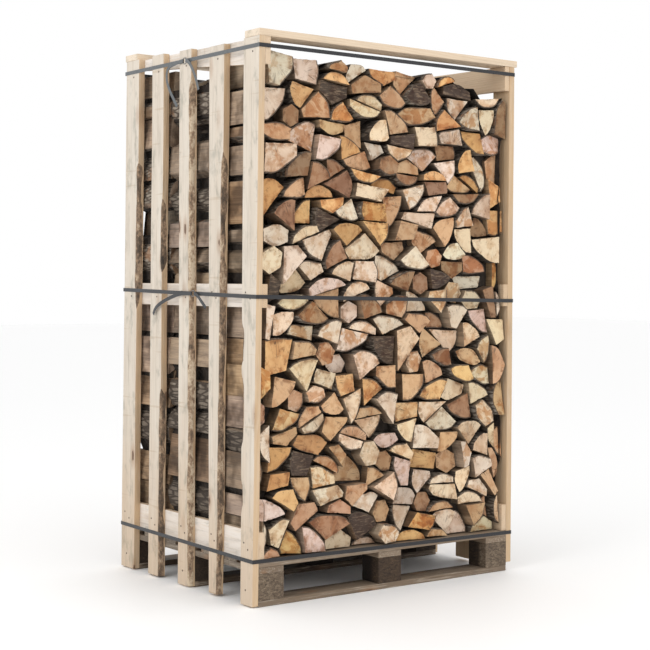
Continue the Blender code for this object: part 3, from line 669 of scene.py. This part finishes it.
def noise(vector, scale, detail=3.0, rough=0.5, bend=0.0):
    return node("ShaderNodeTexNoise", None, {"Vector": vector, "Scale": scale, "Detail": detail,
                "Roughness": rough, "Distortion": bend})["Fac"]


def cells(vector, scale, feature="F1"):
    return node("ShaderNodeTexVoronoi", {"feature": feature}, {"Vector": vector, "Scale": scale})["Distance"]


def stretched(vector, scale):
    return node("ShaderNodeVectorMath", {"operation": "MULTIPLY"}, {0: vector, 1: scale})["Vector"]


def shifted(vector, amount):
    return node("ShaderNodeVectorMath", {"operation": "ADD"}, {0: vector, 1: amount})["Vector"]


def together(x, y, z):
    return node("ShaderNodeCombineXYZ", None, {"X": x, "Y": y, "Z": z})["Vector"]


def apart(vector):
    parts = node("ShaderNodeSeparateXYZ", None, {"Vector": vector})
    return parts["X"], parts["Y"], parts["Z"]


def ramp(value, *stops):
    return node("ShaderNodeValToRGB", None, {"Fac": value}, stops)["Color"]


def mixed(a, b, factor, way="MIX"):
    return node("ShaderNodeMix", {"data_type": "RGBA", "blend_type": way},
                {"Factor": factor, "A": a, "B": b})["Result"]


def bumped(shader, height, distance, strength=1.0):
    bump = node("ShaderNodeBump", None, {"Height": height, "Distance": distance, "Strength": strength})
    connect(shader.inputs["Normal"], bump["Normal"])


def absolute(wire):
    return wire.maths("ABSOLUTE")


logColours = {
    # Names of the sawn ends' colours, each with its share in the lower and in the upper half.
    "tints": {
        "pinkWhite": ((0.76, 0.63, 0.50), 0.30, 0.14),
        "cream": ((0.76, 0.61, 0.42), 0.28, 0.14),
        "tan": ((0.60, 0.39, 0.22), 0.25, 0.24),
        "orange": ((0.62, 0.35, 0.14), 0.04, 0.13),
        "honey": ((0.76, 0.47, 0.21), 0.04, 0.12),
        "brown": ((0.36, 0.215, 0.115), 0.07, 0.15),
        "dark": ((0.060, 0.038, 0.025), 0.03, 0.09),
    },
    "upperFrom": 1.35,
    "splitTones": ((0.0, (0.085, 0.056, 0.036)), (0.4, (0.23, 0.15, 0.092)), (0.75, (0.40, 0.28, 0.18)),
                   (1.0, (0.54, 0.43, 0.31))),
    "barkTones": ((0.0, (0.020, 0.014, 0.010)), (0.40, (0.070, 0.052, 0.038)), (0.68, (0.19, 0.155, 0.12)),
                  (1.0, (0.46, 0.41, 0.34))),
    "ringWidth": 0.0034,
}


def logEndFinish():
    made, shader = finishOf("firewoodSawnEnd", 0.78)
    place = field("fromPith")["Vector"]
    tone, mood, rim = (field(name)["Fac"] for name in ("tone", "mood", "barkNear"))
    x, _, z = apart(place)
    flat = together(x, mood * 7.0, z)
    radius = (x * x + z * z) ** 0.5
    grown = radius * (1.0 + 0.16 * (noise(flat, 14.0, 2.0) - 0.5)) + mood * 0.01
    turn = node("ShaderNodeMath", {"operation": "ARCTAN2"}, {0: z, 1: x})["Value"]
    ring = (grown * (fullTurn / logColours["ringWidth"])).maths("SINE") * 0.5 + 0.5
    blotch = noise(flat, 26.0, 4.0, 0.6)
    streak = noise(together(turn * 5.0, radius * 9.0, mood * 20.0), 1.6, 3.0, 0.6)
    crackAt = noise(together(turn * 3.2, radius * 2.0, mood * 31.0), 2.4, 1.0)
    crack = 1.0 - absolute(crackAt - 0.5).step(0.0, 0.012)
    crack = crack * radius.step(0.012, 0.04) * noise(flat, 18.0, 1.0).step(0.45, 0.6)
    sawn = noise(stretched(shifted(place, together(mood * 3.0, tone, mood)), (70.0, 1.0, 900.0)), 1.0, 2.0)
    base = field("tint")["Color"]
    heart = noise(flat, 19.0, 3.0, 0.62, 0.8) + (0.045 - grown) * 2.0
    base = mixed(base, (0.72, 0.48, 0.29), heart.step(0.47, 0.58) * mood.step(0.35, 0.95) * 0.9, "MULTIPLY")
    base = mixed(base, (0.74, 0.57, 0.42), blotch.step(0.46, 0.64) * (0.20 + 0.7 * (1.0 - tone)), "MULTIPLY")
    smear = noise(shifted(flat, together(tone * 5.0, mood, tone)), 8.0, 2.0, 0.5)
    base = mixed(base, (0.66, 0.52, 0.42), smear.step(0.52, 0.66) * 0.55, "MULTIPLY")
    base = mixed(base, (0.42, 0.27, 0.16), ring * 0.30 * (0.3 + 0.7 * tone), "MULTIPLY")
    base = mixed(base, (0.66, 0.48, 0.33), streak.step(0.48, 0.80) * 0.35, "MULTIPLY")
    stain = noise(flat, 38.0, 5.0, 0.72)
    base = mixed(base, (0.30, 0.19, 0.12), stain.step(0.53, 0.72) * (0.15 + 0.95 * noise(flat, 9.0, 1.0)),
                 "MULTIPLY")
    dirty = noise(flat, 24.0, 4.0, 0.65).step(0.50, 0.62) * field("edgeNear")["Fac"].step(0.2, 0.9)
    base = mixed(base, (0.38, 0.26, 0.17), dirty * 0.75, "MULTIPLY")
    streaks = noise(stretched(shifted(place, together(mood * 9.0, tone, mood)), (30.0, 30.0, 150.0)), 1.0,
                    4.0, 0.65, 0.5)
    darkness = 1.0 - apart(field("tint")["Vector"])[0].step(0.08, 0.2)
    base = mixed(base, (0.20, 0.135, 0.085), streaks.step(0.48, 0.66) * darkness * 0.75)
    base = mixed(base, (0.36, 0.26, 0.17), streaks.step(0.62, 0.74) * darkness * 0.5)
    base = mixed(base, (0.055, 0.036, 0.024), crack * 0.85)
    base = mixed(base, (0.070, 0.046, 0.030), rim.step(0.35, 0.75) * mood.step(0.22, 0.30) * 0.9)
    connect(shader.inputs["Base Color"], base)
    connect(shader.inputs["Roughness"], 0.70 + 0.2 * blotch)
    bumped(shader, sawn * 0.5 + ring * 0.25 - crack * 1.5, 0.0011)
    return made


def logSplitFinish():
    made, shader = finishOf("firewoodSplitSide", 0.8)
    place = field("fromPith")["Vector"]
    tone, mood = field("tone")["Fac"], field("mood")["Fac"]
    own = shifted(place, together(mood * 5.0, tone * 3.0, mood * 2.0))
    fibre = noise(stretched(own, (210.0, 6.0, 210.0)), 1.0, 4.0, 0.6, 0.3)
    broad = noise(stretched(own, (30.0, 2.5, 30.0)), 1.0, 3.0)
    base = ramp(0.15 + tone * 0.5 + (fibre - 0.5) * 1.4 + (broad - 0.5) * 1.1, *logColours["splitTones"])
    base = mixed(base, field("tint")["Color"], 0.22)
    base = mixed(base, (0.24, 0.20, 0.16), noise(own, 7.0, 3.0, 0.6).step(0.42, 0.62) * 0.85, "MULTIPLY")
    base = mixed(base, (0.10, 0.072, 0.050),
                 noise(stretched(own, (46.0, 5.0, 46.0)), 1.0, 5.0, 0.7).step(0.50, 0.72) * 0.7)
    connect(shader.inputs["Base Color"], base)
    bumped(shader, fibre + broad, 0.0022)
    return made


def logBarkFinish():
    made, shader = finishOf("firewoodBark", 0.9)
    place = field("fromPith")["Vector"]
    mood = field("mood")["Fac"]
    own = shifted(place, together(mood * 5.0, mood * 3.0, mood * 2.0))
    plates = cells(stretched(shifted(own, stretched(place, (0.1, 0.1, 0.1))), (60.0, 14.0, 60.0)), 1.0,
                   "DISTANCE_TO_EDGE")
    rough = noise(stretched(own, (120.0, 45.0, 120.0)), 1.0, 5.0, 0.65)
    patch = noise(own, 14.0, 3.0, 0.6)
    height = plates.step(0.02, 0.22) * 0.6 + rough * 0.6
    base = ramp(height * 0.60 + (patch - 0.5) * 0.7 + mood * 0.34 - 0.06, *logColours["barkTones"])
    inner = mixed(base, (0.30, 0.16, 0.085), patch.step(0.56, 0.66) * mood.step(0.5, 0.7) * 0.8)
    connect(shader.inputs["Base Color"], inner)
    bumped(shader, height, 0.004)
    return made


def gapFinish():
    made, shader = finishOf("heartPaintedShade", 0.95)
    # Painted shade: the heart is near-black with faint brown lumps, standing in for the shaded depths between
    # the logs.
    place = field("fromPith")["Vector"]
    lumps = cells(place, 38.0)
    base = mixed((0.010, 0.007, 0.005), (0.060, 0.042, 0.030), lumps * noise(place, 60.0, 3.0, 0.6))
    connect(shader.inputs["Base Color"], base)
    bumped(shader, lumps, 0.01)
    return made


waneTones = ((0.22, (0.035, 0.026, 0.019)), (0.42, (0.125, 0.085, 0.055)), (0.56, (0.30, 0.20, 0.125)),
             (0.70, (0.56, 0.45, 0.32)))

boardColours = {
    "slat": {"face": ((0.0, (0.38, 0.27, 0.165)), (0.45, (0.55, 0.44, 0.32)), (0.8, (0.64, 0.55, 0.43)),
                      (1.0, (0.69, 0.62, 0.51))), "grain": (0.44, 0.27, 0.13), "dirt": (0.36, 0.31, 0.25),
             "bleach": (0.68, 0.65, 0.60), "bleached": 0.50, "edge": (0.60, 0.40, 0.22), "edgeTanAndShade": 0.62,
             "foot": (0.52, 0.36, 0.22), "footed": 0.55, "shade": 0.0, "cracked": 0.28,
             "worn": (0.72, 0.63, 0.51)},
    "top": {"face": ((0.0, (0.56, 0.44, 0.32)), (0.5, (0.74, 0.62, 0.48)), (1.0, (0.83, 0.75, 0.63))),
            "grain": (0.50, 0.32, 0.17), "dirt": (0.42, 0.36, 0.28), "bleach": (0.80, 0.74, 0.65),
            "bleached": 0.25, "edge": (0.66, 0.46, 0.27), "edgeTanAndShade": 0.2,
            "foot": (0.50, 0.36, 0.22), "footed": 0.0, "shade": 0.0, "cracked": 0.25,
            "worn": (0.78, 0.66, 0.49)},
    "rail": {"face": ((0.0, (0.46, 0.32, 0.19)), (0.5, (0.63, 0.48, 0.33)), (1.0, (0.75, 0.63, 0.49))),
             "grain": (0.46, 0.28, 0.14), "dirt": (0.30, 0.24, 0.17), "bleach": (0.77, 0.73, 0.69),
             "bleached": 0.72, "edge": (0.60, 0.42, 0.26), "edgeTanAndShade": 0.3,
             "foot": (0.50, 0.36, 0.22), "footed": 0.0, "shade": 0.0, "cracked": 0.30,
             "worn": (0.66, 0.50, 0.33)},
    "old": {"face": ((0.0, (0.085, 0.062, 0.044)), (0.5, (0.19, 0.145, 0.10)), (1.0, (0.34, 0.27, 0.20))),
            "grain": (0.075, 0.050, 0.034), "dirt": (0.050, 0.038, 0.028), "bleach": (0.27, 0.24, 0.205),
            "bleached": 0.25, "edge": (0.24, 0.165, 0.105), "edgeTanAndShade": 0.4,
            "foot": (0.50, 0.36, 0.22), "footed": 0.0, "shade": 0.78, "cracked": 0.85,
            "worn": (0.40, 0.34, 0.27)},
}


def sawnFinish(name, colours, endGrain=False):
    # Sawn wood. The growth rings are cylinders round a pith beside the board, so they run as long
    # lines on its faces and as arcs on its ends.
    made, shader = finishOf(name, 0.72)
    grain = field("grain")["Vector"]
    tone, mood, waney = (field(n)["Fac"] for n in ("tone", "mood", "waney"))
    a, b, c = apart(grain)
    drift = noise(together(mood * 40.0, 0.0, c), 2.2, 2.0) - 0.5
    lump = noise(stretched(grain, (9.0, 9.0, 1.6)), 1.0, 2.0) - 0.5
    radius = ((a + drift * 0.020) ** 2.0 + (b + drift * 0.016) ** 2.0) ** 0.5 + lump * 0.012
    ring = (radius * (fullTurn / boardLook["ringWidth"])).maths("SINE") * 0.5 + 0.5
    ring = ring ** 2.0
    fibre = noise(stretched(grain, (420.0, 420.0, 9.0)), 1.0, 4.0, 0.6)
    saw = noise(stretched(grain, (3.0, 3.0, 260.0)), 1.0, 2.0, 0.5)
    broad = noise(stretched(grain, (12.0, 12.0, 1.8)), 1.0, 4.0, 0.6)
    stain = noise(stretched(grain, (16.0, 16.0, 3.5)), 1.0, 5.0, 0.65)
    knotCell = node("ShaderNodeTexVoronoi", {"feature": "F1"},
                    {"Vector": stretched(grain, (11.0, 11.0, 4.0)), "Scale": 1.0, "Randomness": 1.0})
    knotAway = knotCell["Distance"] + (noise(grain, 90.0, 2.0) - 0.5) * 0.05
    knot = 1.0 - knotAway.step(0.075, 0.105)
    halo = 1.0 - knotAway.step(0.09, 0.28)
    base = ramp(0.28 + tone * 0.42 + (broad - 0.5) * 0.55 + (fibre - 0.5) * 0.22, *colours["face"])
    base = mixed(base, colours["grain"], ring * (0.30 if not endGrain else 0.45) * (0.45 + 0.55 * mood))
    atX, atY, atZ = apart(node("ShaderNodeTexCoord")["Object"])
    outer = (apart(node("ShaderNodeNewGeometry")["Normal"])[0] * atX).step(0.30, 0.50)
    base = mixed(base, colours["bleach"], outer * colours["bleached"] * (0.6 + 0.8 * broad))
    # Faces that do not face outwards get the edge tan: partly the boards' own edge colour, partly painted
    # shade with warm reflected light.
    base = mixed(base, colours["edge"], (1.0 - outer) * colours["edgeTanAndShade"])
    base = mixed(base, colours["dirt"], stain.step(0.50, 0.78) * 0.45)
    low = (1.0 - (atZ + broad * 0.5).step(0.30, 1.0)) * outer * colours["footed"]
    base = mixed(base, colours["foot"], low)
    # Painted shade: on the pallet's weathered boards, the parts within about 0.4 of the middle in Y and 0.58
    # in X are darkened, for the shade under and inside the pallet.
    inside = (1.0 - absolute(atY).step(0.38, 0.43)) * (1.0 - absolute(atX).step(0.57,
                                                                                0.59)) * colours["shade"]
    base = mixed(base, (0.22, 0.17, 0.13), inside, "MULTIPLY")
    smudge = noise(stretched(shifted(grain, together(3.1, mood, tone)), (20.0, 20.0, 9.0)), 1.0, 4.0, 0.65)
    base = mixed(base, (0.60, 0.63, 0.62), smudge.step(0.52, 0.70) * outer * 0.75, "MULTIPLY")
    streak = noise(stretched(shifted(grain, together(0.0, tone * 3.0, 7.0)), (85.0, 85.0, 2.6)), 1.0, 4.0,
                   0.6)
    base = mixed(base, (0.66, 0.64, 0.61), streak.step(0.53, 0.70) * outer * 0.55, "MULTIPLY")
    scratch = noise(stretched(grain, (240.0, 240.0, 3.0)), 1.0, 2.0).step(0.62, 0.72)
    base = mixed(base, (0.45, 0.38, 0.31), scratch * colours["cracked"], "MULTIPLY")
    worn = noise(stretched(shifted(grain, together(1.0, mood, 5.0)), (150.0, 150.0, 7.0)), 1.0, 5.0, 0.7)
    base = mixed(base, colours["worn"], worn.step(0.50, 0.66) * colours["cracked"] * 0.8)
    sawLine = noise(stretched(grain, (4.0, 4.0, 70.0)), 1.0, 1.0).step(0.66, 0.74)
    base = mixed(base, (0.80, 0.72, 0.62), sawLine * outer * 0.5, "MULTIPLY")
    base = mixed(base, (0.30, 0.15, 0.065), halo * 0.38)
    base = mixed(base, (0.105, 0.052, 0.026), knot * 0.85)
    barkTone = noise(stretched(grain, (95.0, 95.0, 55.0)), 1.0, 5.0, 0.7)
    barkPatch = noise(stretched(shifted(grain, together(mood * 9.0, 0.0, 0.0)), (26.0, 26.0, 11.0)), 1.0, 3.0,
                      0.6)
    lightness = (field("barkLight")["Fac"] - 0.5) * 0.36
    bark = ramp(barkTone * 0.85 + barkPatch * 0.75 - 0.30 + lightness, *waneTones)
    waney = (waney + (barkTone - 0.5) * 0.30).step(0.32, 0.42)
    base = mixed(base, bark, waney)
    connect(shader.inputs["Base Color"], base)
    connect(shader.inputs["Roughness"], 0.62 + 0.25 * broad)
    bumped(shader, fibre * 0.55 + ring * 0.3 + saw * 0.35 + knot * 0.5 + barkTone * waney * 2.0, 0.0008)
    return made


def chipFinish():
    # Pressed chips: flat flakes of several browns in glue, cut through at the block's sides.
    made, shader = finishOf("pressedChipBlock", 0.85)
    place = node("ShaderNodeTexCoord")["Object"]
    flake = node("ShaderNodeTexVoronoi", {"feature": "F1"},
                 {"Vector": stretched(place, (1.0, 1.0, 1.9)), "Scale": 105.0})
    small = node("ShaderNodeTexVoronoi", {"feature": "F1"},
                 {"Vector": stretched(place, (1.4, 1.0, 1.2)), "Scale": 260.0})
    shade = apart(flake["Color"])[0] * 0.6 + apart(small["Color"])[1] * 0.4
    base = ramp(shade, (0.0, (0.060, 0.041, 0.027)), (0.35, (0.115, 0.082, 0.055)),
                (0.7, (0.175, 0.130, 0.087)),
                (1.0, (0.29, 0.22, 0.15)))
    base = mixed(base, (0.060, 0.040, 0.028), noise(place, 9.0, 4.0).step(0.5, 0.8) * 0.5)
    x, y, _ = apart(place)
    # Painted shade: the blocks near the middle in X, and the inner row with |Y| under 0.43, are darkened for
    # the shade under the pallet.
    base = mixed(base, (0.34, 0.27, 0.21), 1.0 - absolute(x).step(0.10, 0.42), "MULTIPLY")
    base = mixed(base, (0.24, 0.19, 0.15), 1.0 - absolute(y).step(0.43, 0.455), "MULTIPLY")
    connect(shader.inputs["Base Color"], base)
    bumped(shader, shade + noise(place, 400.0, 2.0) * 0.5, 0.0012)
    return made


strapColours = {"dark": (0.004, 0.004, 0.006), "light": (0.020, 0.021, 0.027), "paintedSheenGrey": (0.145, 0.158, 0.165),
                "yarn": 0.0011}


def strapFinish():
    made, shader = finishOf("blackWovenStrap", 0.4)
    place = node("ShaderNodeTexCoord")["Object"]
    x, y, z = apart(place)
    rib = (z * (fullTurn / strapColours["yarn"])).maths("SINE") * 0.5 + 0.5
    cross = ((x + y) * (fullTurn / 0.0028)).maths("SINE") * 0.5 + 0.5
    dust = noise(place, 30.0, 4.0, 0.6)
    base = mixed(strapColours["dark"], strapColours["light"], rib * 0.35 + dust.step(0.35, 0.8) * 0.45)
    # Painted sheen: faces that face along X are mixed towards a pale grey, most on the higher strap, for the
    # light glancing off the side runs.
    side = absolute(apart(node("ShaderNodeNewGeometry")["Normal"])[0]).step(0.5, 0.9)
    base = mixed(base, strapColours["paintedSheenGrey"], side * (0.13 + 0.62 * z.step(1.2, 1.9)) * (0.8 + 0.3 * rib))
    connect(shader.inputs["Base Color"], base)
    connect(shader.inputs["Roughness"], 0.26 + 0.25 * dust)
    bumped(shader, rib + cross * 0.4, 0.0002)
    return made


def wireFinish():
    made, shader = finishOf("galvanisedWire", 0.38, 0.9)
    place = node("ShaderNodeTexCoord")["Object"]
    spangle = noise(place, 420.0, 3.0, 0.6)
    base = mixed((0.20, 0.20, 0.20), (0.42, 0.43, 0.43), spangle)
    base = mixed(base, (0.20, 0.13, 0.08), noise(place, 130.0, 3.0).step(0.62, 0.75) * 0.5)
    connect(shader.inputs["Base Color"], base)
    connect(shader.inputs["Roughness"], 0.28 + 0.3 * spangle)
    bumped(shader, spangle, 0.0002)
    return made


def nailFinish():
    made, shader = finishOf("dullNailHead", 0.55, 0.7)
    place = node("ShaderNodeTexCoord")["Object"]
    rust = noise(place, 260.0, 3.0, 0.6)
    base = mixed((0.115, 0.105, 0.095), (0.16, 0.075, 0.035), rust.step(0.4, 0.75))
    connect(shader.inputs["Base Color"], base)
    connect(shader.inputs["Roughness"], 0.4 + 0.4 * rust)
    bumped(shader, rust, 0.0002)
    return made


# The camera stands where the photograph's did; the values come from fitting it to the pallet's corners.
cameraLook = {"place": (-3.4929, -4.8359, 1.1556), "yaw": -36.179, "pitch": -1.715, "roll": 0.252,
              "lens": 82.57}


def addCamera():
    # The axes come from yaw and pitch; roll turns them about the line of sight.
    yaw, pitch, roll = (math.radians(cameraLook[k]) for k in ("yaw", "pitch", "roll"))
    forward = np.array([-math.sin(yaw) * math.cos(pitch), math.cos(yaw) * math.cos(pitch), math.sin(pitch)])
    level = np.array([math.cos(yaw), math.sin(yaw), 0.0])
    upward = np.cross(level, forward)
    right = math.cos(roll) * level + math.sin(roll) * upward
    up = np.cross(right, forward)
    camera = bpy.data.objects.new("camera", bpy.data.cameras.new("camera"))
    camera.data.lens = cameraLook["lens"]
    camera.data.sensor_width = 36.0
    axes = np.column_stack([right, up, -forward]).tolist()
    camera.matrix_world = Matrix.Translation(cameraLook["place"]) @ Matrix(axes).to_4x4()
    bpy.context.scene.collection.objects.link(camera)
    bpy.context.scene.camera = camera


# Soft studio light: a large key on the left, a weaker front light, and a bright surround.
lightLook = {
    "key": {"at": (-5.0, -1.0, 3.6), "size": 3.2, "power": 75, "colour": (1.0, 0.985, 0.965)},
    "front": {"at": (1.2, -5.6, 3.4), "size": 3.4, "power": 55, "colour": (1.0, 0.965, 0.92)},
    "surround": (1.0, 1.0, 1.0),
    "surroundStrength": 1.0,
}


def addLights():
    for name in ("key", "front"):
        look = lightLook[name]
        lamp = bpy.data.lights.new(name, "AREA")
        lamp.energy, lamp.size, lamp.color = look["power"], look["size"], look["colour"]
        made = bpy.data.objects.new(name, lamp)
        bpy.context.scene.collection.objects.link(made)
        aim = Matrix.Translation(look["at"]).translation - Matrix.Translation((0, 0, 1.0)).translation
        made.rotation_euler = aim.to_track_quat("Z", "Y").to_euler()
        made.location = look["at"]
    world = bpy.data.worlds.new("surround")
    bpy.context.scene.world = world
    world.use_nodes = True
    sky = world.node_tree.nodes["Background"]
    sky.inputs["Color"].default_value = (*lightLook["surround"], 1.0)
    sky.inputs["Strength"].default_value = lightLook["surroundStrength"]
    bpy.context.scene.view_settings.view_transform = "Standard"


floorLook = {"half": 30.0, "level": -0.0005, "roughness": 0.6, "colour": (0.97, 0.97, 0.97)}


def addFloor():
    # One square, a little under the skids.
    mesh = bpy.data.meshes.new("floor")
    half, level = floorLook["half"], floorLook["level"]
    corners = [(x, y, level) for x, y in ((-half, -half), (half, -half), (half, half), (-half, half))]
    mesh.from_pydata(corners, [], [(0, 1, 2, 3)])
    floor = bpy.data.objects.new("floor", mesh)
    bpy.context.scene.collection.objects.link(floor)
    made, shader = finishOf("paleFloor", floorLook["roughness"])
    shader.inputs["Base Color"].default_value = (*floorLook["colour"], 1.0)
    mesh.materials.append(made)


addCamera()
addLights()
addFloor()
print("camera, lights and floor done")

logFinishes = [logEndFinish(), logSplitFinish(), logBarkFinish(), gapFinish()]
rng = np.random.default_rng(logLook["seed"])
for word, facing in (("front", -1), ("back", 1)):
    found, heart = logOutlines(f"firewood_{word}", facing)
    logs = reaching(found, 0.03)
    back = facing * logLook["rowInside"]
    heights = np.array([outline[:, 1].mean() for outline, _ in logs])
    middle = np.median(heights)
    low = [log for log, h in zip(logs, heights) if h <= middle]
    high = [log for log, h in zip(logs, heights) if h > middle]
    logPile(f"logs_{word}_lower", low, back, logFinishes, [f"firewood_{word}"], rng, heart, logs)
    logPile(f"logs_{word}_upper", high, back, logFinishes, [f"firewood_{word}"], rng)
    if word == "back":    # the hidden row has the back row's outlines, turned over in X
        ends = logLook["middleEnds"]
        turned = [(outline[::-1] * (-1, 1), -ends) for outline, _ in reaching(found, 0.09)]
        side = [log for log in turned if np.abs(log[0][:, 0]).max() > logLook["shownFromX"]
                or log[0][:, 1].max() > logLook["shownFromZ"]]
        logPile("logs_middle", side, ends, logFinishes, ["firewood_middle"], rng, None, turned)
    print(word, len(logs), "logs")

boardFinishes = {}
for kind, word in (("slat", "freshSlat"), ("rail", "rail"), ("top", "topBoard"), ("old", "weathered")):
    boardFinishes[kind] = [sawnFinish(word + "Face", boardColours[kind]),
                           sawnFinish(word + "End", boardColours[kind], True)]
rng = np.random.default_rng(12)
for name in sorted(nodes):
    if "slat" in name:
        boardPiece(name, boardFinishes["slat"], "sawn_slat", rng, waneOf(name))
    elif "rail" in name or name.startswith("top_board"):
        boardPiece(name, boardFinishes["rail" if "rail" in name else "top"], "sawn_slat", rng)
    elif name.startswith(("skid", "stringer", "deck")):
        boardPiece(name, boardFinishes["old"], "weathered_board", rng)

nailHeads(slatNails()).piece("nail_heads", [nailFinish()], "buckle_wire", sharpAngle=50)

chips, strap, wire = chipFinish(), strapFinish(), wireFinish()
for name, made in nodes.items():
    finish = None
    if name.startswith("block"):
        finish = chips
    elif "buckle" in name:
        finish = wire
    elif name.startswith("strap"):
        finish = strap
    if finish:
        made.data.materials.clear()
        made.data.materials.append(finish)
